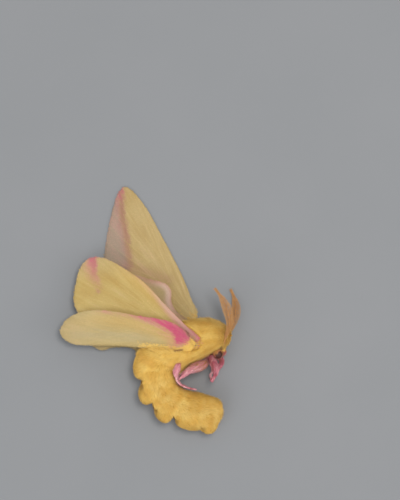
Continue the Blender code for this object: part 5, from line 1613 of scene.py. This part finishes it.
def wing_material(name, pale, scales):
    m = Nodes(name)
    tone = m.attr("tone")
    streak = m.attr("streak")
    blotch = m.noise(300.0, 4.0, 0.6)
    fleck = m.noise(4200.0, 2.0, 0.6)
    a, b = (lin(184, 165, 116), lin(167, 142, 92)) if pale else (lin(195, 172, 107), lin(178, 147, 81))
    yel = m.mix(m.math("MULTIPLY_ADD", streak, 0.34, m.math("MULTIPLY_ADD", blotch, 0.9, 0.0), clamp=True), b, a)
    yel = m.mix(m.math("MULTIPLY", m.attr("warm"), 0.8), yel, lin(218, 172, 88))
    yel = m.mix(m.math("MULTIPLY", m.attr("grey"), 0.9), yel, lin(152, 134, 122) if pale else lin(178, 166, 131))
    edge = m.math("MULTIPLY_ADD", tone, 0.14, m.math("MULTIPLY_ADD", streak, 0.10, m.attr("pink")))
    ros = m.mix(m.math("MULTIPLY_ADD", m.attr("pink"), 1.5, -0.5, clamp=True), lin(202, 136, 130), lin(198, 82, 112))
    col = m.mix(m.math("MULTIPLY_ADD", edge, 1.2, -0.06, clamp=True), yel, ros)
    col = m.mix(m.math("MULTIPLY", m.attr("light"), 0.8), col, lin(214, 184, 168))
    # brown-grey dusk: the wings' own markings, and painted shadow lines and painted shade under other wings
    col = m.mix(m.math("MULTIPLY", m.attr("dusk_and_shade"), 0.85), col, lin(118, 76, 66))
    col = m.mix(m.math("MULTIPLY", m.attr("vein"), 0.16), col, lin(250, 224, 150))
    hue = m.t.nodes.new("ShaderNodeHueSaturation")
    if scales:
        m.put_in(hue.inputs["Value"], m.math("MULTIPLY_ADD", tone, 0.06, 1.0))
    else:
        m.put_in(hue.inputs["Value"], m.math("MULTIPLY_ADD", fleck, 0.10, 0.90))
    m.put_in(hue.inputs["Color"], col)
    rough = m.math("MULTIPLY_ADD", fleck, 0.25, 0.5, clamp=True)
    nrm = m.bump(fleck, 0.35, 0.00001, m.bump(streak, 0.2, 0.00003))
    return m.finish(hue.outputs[0], rough, nrm, sheen=0.2, tint=lin(255, 236, 190), spec=0.3)


def feeler_material(name):
    m = Nodes(name)
    blotch = m.noise(2500.0, 3.0, 0.6)
    col = m.mix(m.math("MULTIPLY_ADD", blotch, 1.3, -0.15, clamp=True), lin(150, 98, 52), lin(196, 144, 84))
    col = m.mix(m.math("MULTIPLY", m.attr("far"), 0.5), col, lin(206, 160, 104))
    return m.finish(col, m.math("MULTIPLY_ADD", blotch, 0.3, 0.4, clamp=True), m.bump(m.noise(8000.0, 2.0), 0.4, 0.00001),
                    sheen=0.15, tint=lin(255, 226, 180), spec=0.35)


def eye_material(name):
    m = Nodes(name)
    v = m.t.nodes.new("ShaderNodeTexVoronoi")
    v.feature = "DISTANCE_TO_EDGE"
    v.inputs["Scale"].default_value = 26000.0
    m.t.links.new(m.place(), v.inputs["Vector"])
    cell = m.math("MULTIPLY", v.outputs["Distance"], 3.0, clamp=True)
    blotch = m.noise(900.0, 3.0, 0.6)
    col = m.mix(blotch, lin(80, 40, 24), lin(112, 62, 36))
    col = m.mix(cell, lin(46, 22, 16), col)
    return m.finish(col, m.math("MULTIPLY_ADD", blotch, 0.16, 0.34, clamp=True), m.bump(cell, 0.4, 0.000008), spec=0.35, coat=0.05)


def claw_material(name):
    m = Nodes(name)
    blotch = m.noise(3000.0, 3.0, 0.6)
    col = m.mix(blotch, lin(70, 30, 24), lin(120, 58, 44))
    return m.finish(col, m.math("MULTIPLY_ADD", blotch, 0.2, 0.25, clamp=True), m.bump(blotch, 0.2, 0.00001), spec=0.5)


def floor_material(name):
    m = Nodes(name)
    n1 = m.noise(900.0, 2.0, 0.5)
    col = m.mix(m.noise(60.0, 3.0, 0.5), lin(138, 140, 142), lin(144, 145, 147))
    return m.finish(col, m.math("MULTIPLY_ADD", n1, 0.1, 0.8, clamp=True), m.bump(n1, 0.05, 0.00002), spec=0.15)


def wear(ob, mat):
    ob.data.materials.clear()
    ob.data.materials.append(mat)
    return ob


# ------------------------------------------------------------------ building
FUR, SKIN = body_material("fur", True), body_material("skin", False)
LEG = leg_material("leg_hair")
WING_WARM, WING_PALE = wing_material("wing_scales_warm", False, True), wing_material("wing_scales_pale", True, True)
SHEET_WARM, SHEET_PALE = wing_material("wing_sheet_warm", False, False), wing_material("wing_sheet_pale", True, False)
FEELER, EYE, CLAW = feeler_material("feeler"), eye_material("eye"), claw_material("claw")

legs = list(LEGS)
parts = [body_shell(), head_shell()] + [tube(n, limb_rings(leg_path(n, 80), 16)) for n in legs]
skin = wear(union("skin", parts), SKIN)
where = design(skin)
for key, val in body_marks(where).items():
    put(skin, key, val)
near_leg = np.min([to_segments(where, np.array(LEGS[n])[:, :3])[0] for n in legs], axis=0)
on_leg = 1 - smooth(near_leg, 0.36, 0.52)
keep_pink = np.empty(len(where), np.float32)
skin.data.attributes["pink"].data.foreach_get("value", keep_pink)
put(skin, "pink", np.maximum(keep_pink, on_leg))
put(skin, "tone", 0.5 * waves(where, 0.6, 9))
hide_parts("head", "thorax", "abdomen_1", "abdomen_2", "abdomen_3", "abdomen_4", "abdomen_5", *legs)

body = [skin]
share = 1.0
T = lambda c: int(c * share)
body.append(wear(body_coat("fur_breast_front", FRONT + 0.02, -5.4, T(9500), 0.86, math.radians(19), 0.20, 0.085, 500), FUR))
body.append(wear(body_coat("fur_breast_middle", -5.4, -2.6, T(11500), 1.0, math.radians(18), 0.20, 0.09, 510), FUR))
body.append(wear(body_coat("fur_breast_back", -2.6, 0.0, T(11000), 0.98, math.radians(18), 0.19, 0.09, 520), FUR))
cuts = list(CUTS) + [TIP - 0.02]
for i in range(5):
    count = [9500, 6500, 7000, 7500, 6500][i]
    body.append(wear(body_coat(f"fur_abdomen_{i + 1}", cuts[i], cuts[i + 1], T(count), 0.82, math.radians(17), 0.15, 0.08,
                               540 + 10 * i), FUR))
body.append(wear(head_coat("fur_head", T(4200)), FUR))
body.append(wear(lashes("fur_eye_rims", T(950)), FUR))
for wing_name, how_many in (("wing_hind_right", 4200), ("wing_fore_right", 1500), ("wing_hind_left", 900), ("wing_fore_left", 900)):
    body.append(wear(shoulder(wing_name, WINGS[wing_name], T(how_many), 620 + how_many), FUR))
w = WINGS["wing_hind_right"]
body.append(wear(collar("wing_hind_right", w, T(1400), 660, [(w.trail, 0.05, 0.48)]), FUR))
body.append(wear(leg_coat("fur_legs_right", legs[:3], T(520)), LEG))
body.append(wear(leg_coat("fur_legs_left", legs[3:], T(420), seed=97), LEG))

wings = []
for name, w in WINGS.items():
    pale = "left" in name
    sheet = wear(membrane(w), SHEET_PALE if pale else SHEET_WARM)
    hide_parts(name)
    cover = [sheet]
    seen = "top" if name != "x" else "low"
    for face, count in (("top", 9000), ("low", 4200)):
        cover.append(wear(vanes(f"{name}_scales_{face}", w, face, T(count), 0.25 if face == "top" else 0.32, 0.095 if face == "top" else 0.13, 700 + len(name) + (face == "low") * 5),
                          WING_PALE if pale else WING_WARM))
    cover.append(wear(fringe(f"{name}_fringe", w, 16, 0.26, 800 + len(name)), WING_PALE if pale else WING_WARM))
    wings += cover

small = []
for side in ("right", "left"):
    a = wear(antenna(side), FEELER)
    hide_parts("antenna_" + side)
    lashes = wear(antenna_coat(side), FEELER)
    e = wear(eye(side), EYE)
    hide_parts("eye_" + side)
    small += [a, lashes, e]
c = wear(claws(), CLAW)
small.append(c)

for ob in body + wings + small:
    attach(ob, "root")

# ------------------------------------------------------------------ floor, light, camera
me = bpy.data.meshes.new("floor")
F = 1.5
me.from_pydata([(-F, -F, 0), (F, -F, 0), (F, F, 0), (-F, F, 0)], [], [(0, 1, 2, 3)])
floor = bpy.data.objects.new("floor", me)
bpy.context.scene.collection.objects.link(floor)
wear(floor, floor_material("pale_floor"))

world = bpy.data.worlds.new("studio")
bpy.context.scene.world = world
world.use_nodes = True
bg = world.node_tree.nodes["Background"]
bg.inputs[0].default_value = (0.93, 0.96, 1.0, 1.0)
bg.inputs[1].default_value = 0.55


def lamp(name, place, size, power, color, at=(0.0, 0.0, 0.001)):
    li = bpy.data.lights.new(name, "AREA")
    li.shape, li.size, li.energy, li.color = "DISK", size, power, color
    ob = bpy.data.objects.new(name, li)
    bpy.context.scene.collection.objects.link(ob)
    ob.location = place
    ob.rotation_euler = (Vector(at) - Vector(place)).to_track_quat("-Z", "Y").to_euler()
    return ob


key = lamp("key", (0.060, 0.055, 0.33), 0.13, 0.60, (1.0, 0.97, 0.93))
fill = lamp("fill", (-0.16, -0.20, 0.20), 0.25, 0.275, (0.95, 0.97, 1.0))
side = lamp("side", (0.28, -0.08, 0.11), 0.20, 0.16, (1.0, 0.98, 0.96))

cam = bpy.data.cameras.new("camera")
camera = bpy.data.objects.new("camera", cam)
bpy.context.scene.collection.objects.link(camera)
camera.location = (0.006457, 0.007775, 0.302)
camera.rotation_euler = (0, 0, 0)
cam.sensor_width, cam.sensor_height = 36.0, 36.0
cam.lens = 36.0 * 300.0 / 65.0
cam.clip_start, cam.clip_end = 0.01, 10.0
bpy.context.scene.camera = camera
bpy.context.scene.view_settings.view_transform = "Standard"
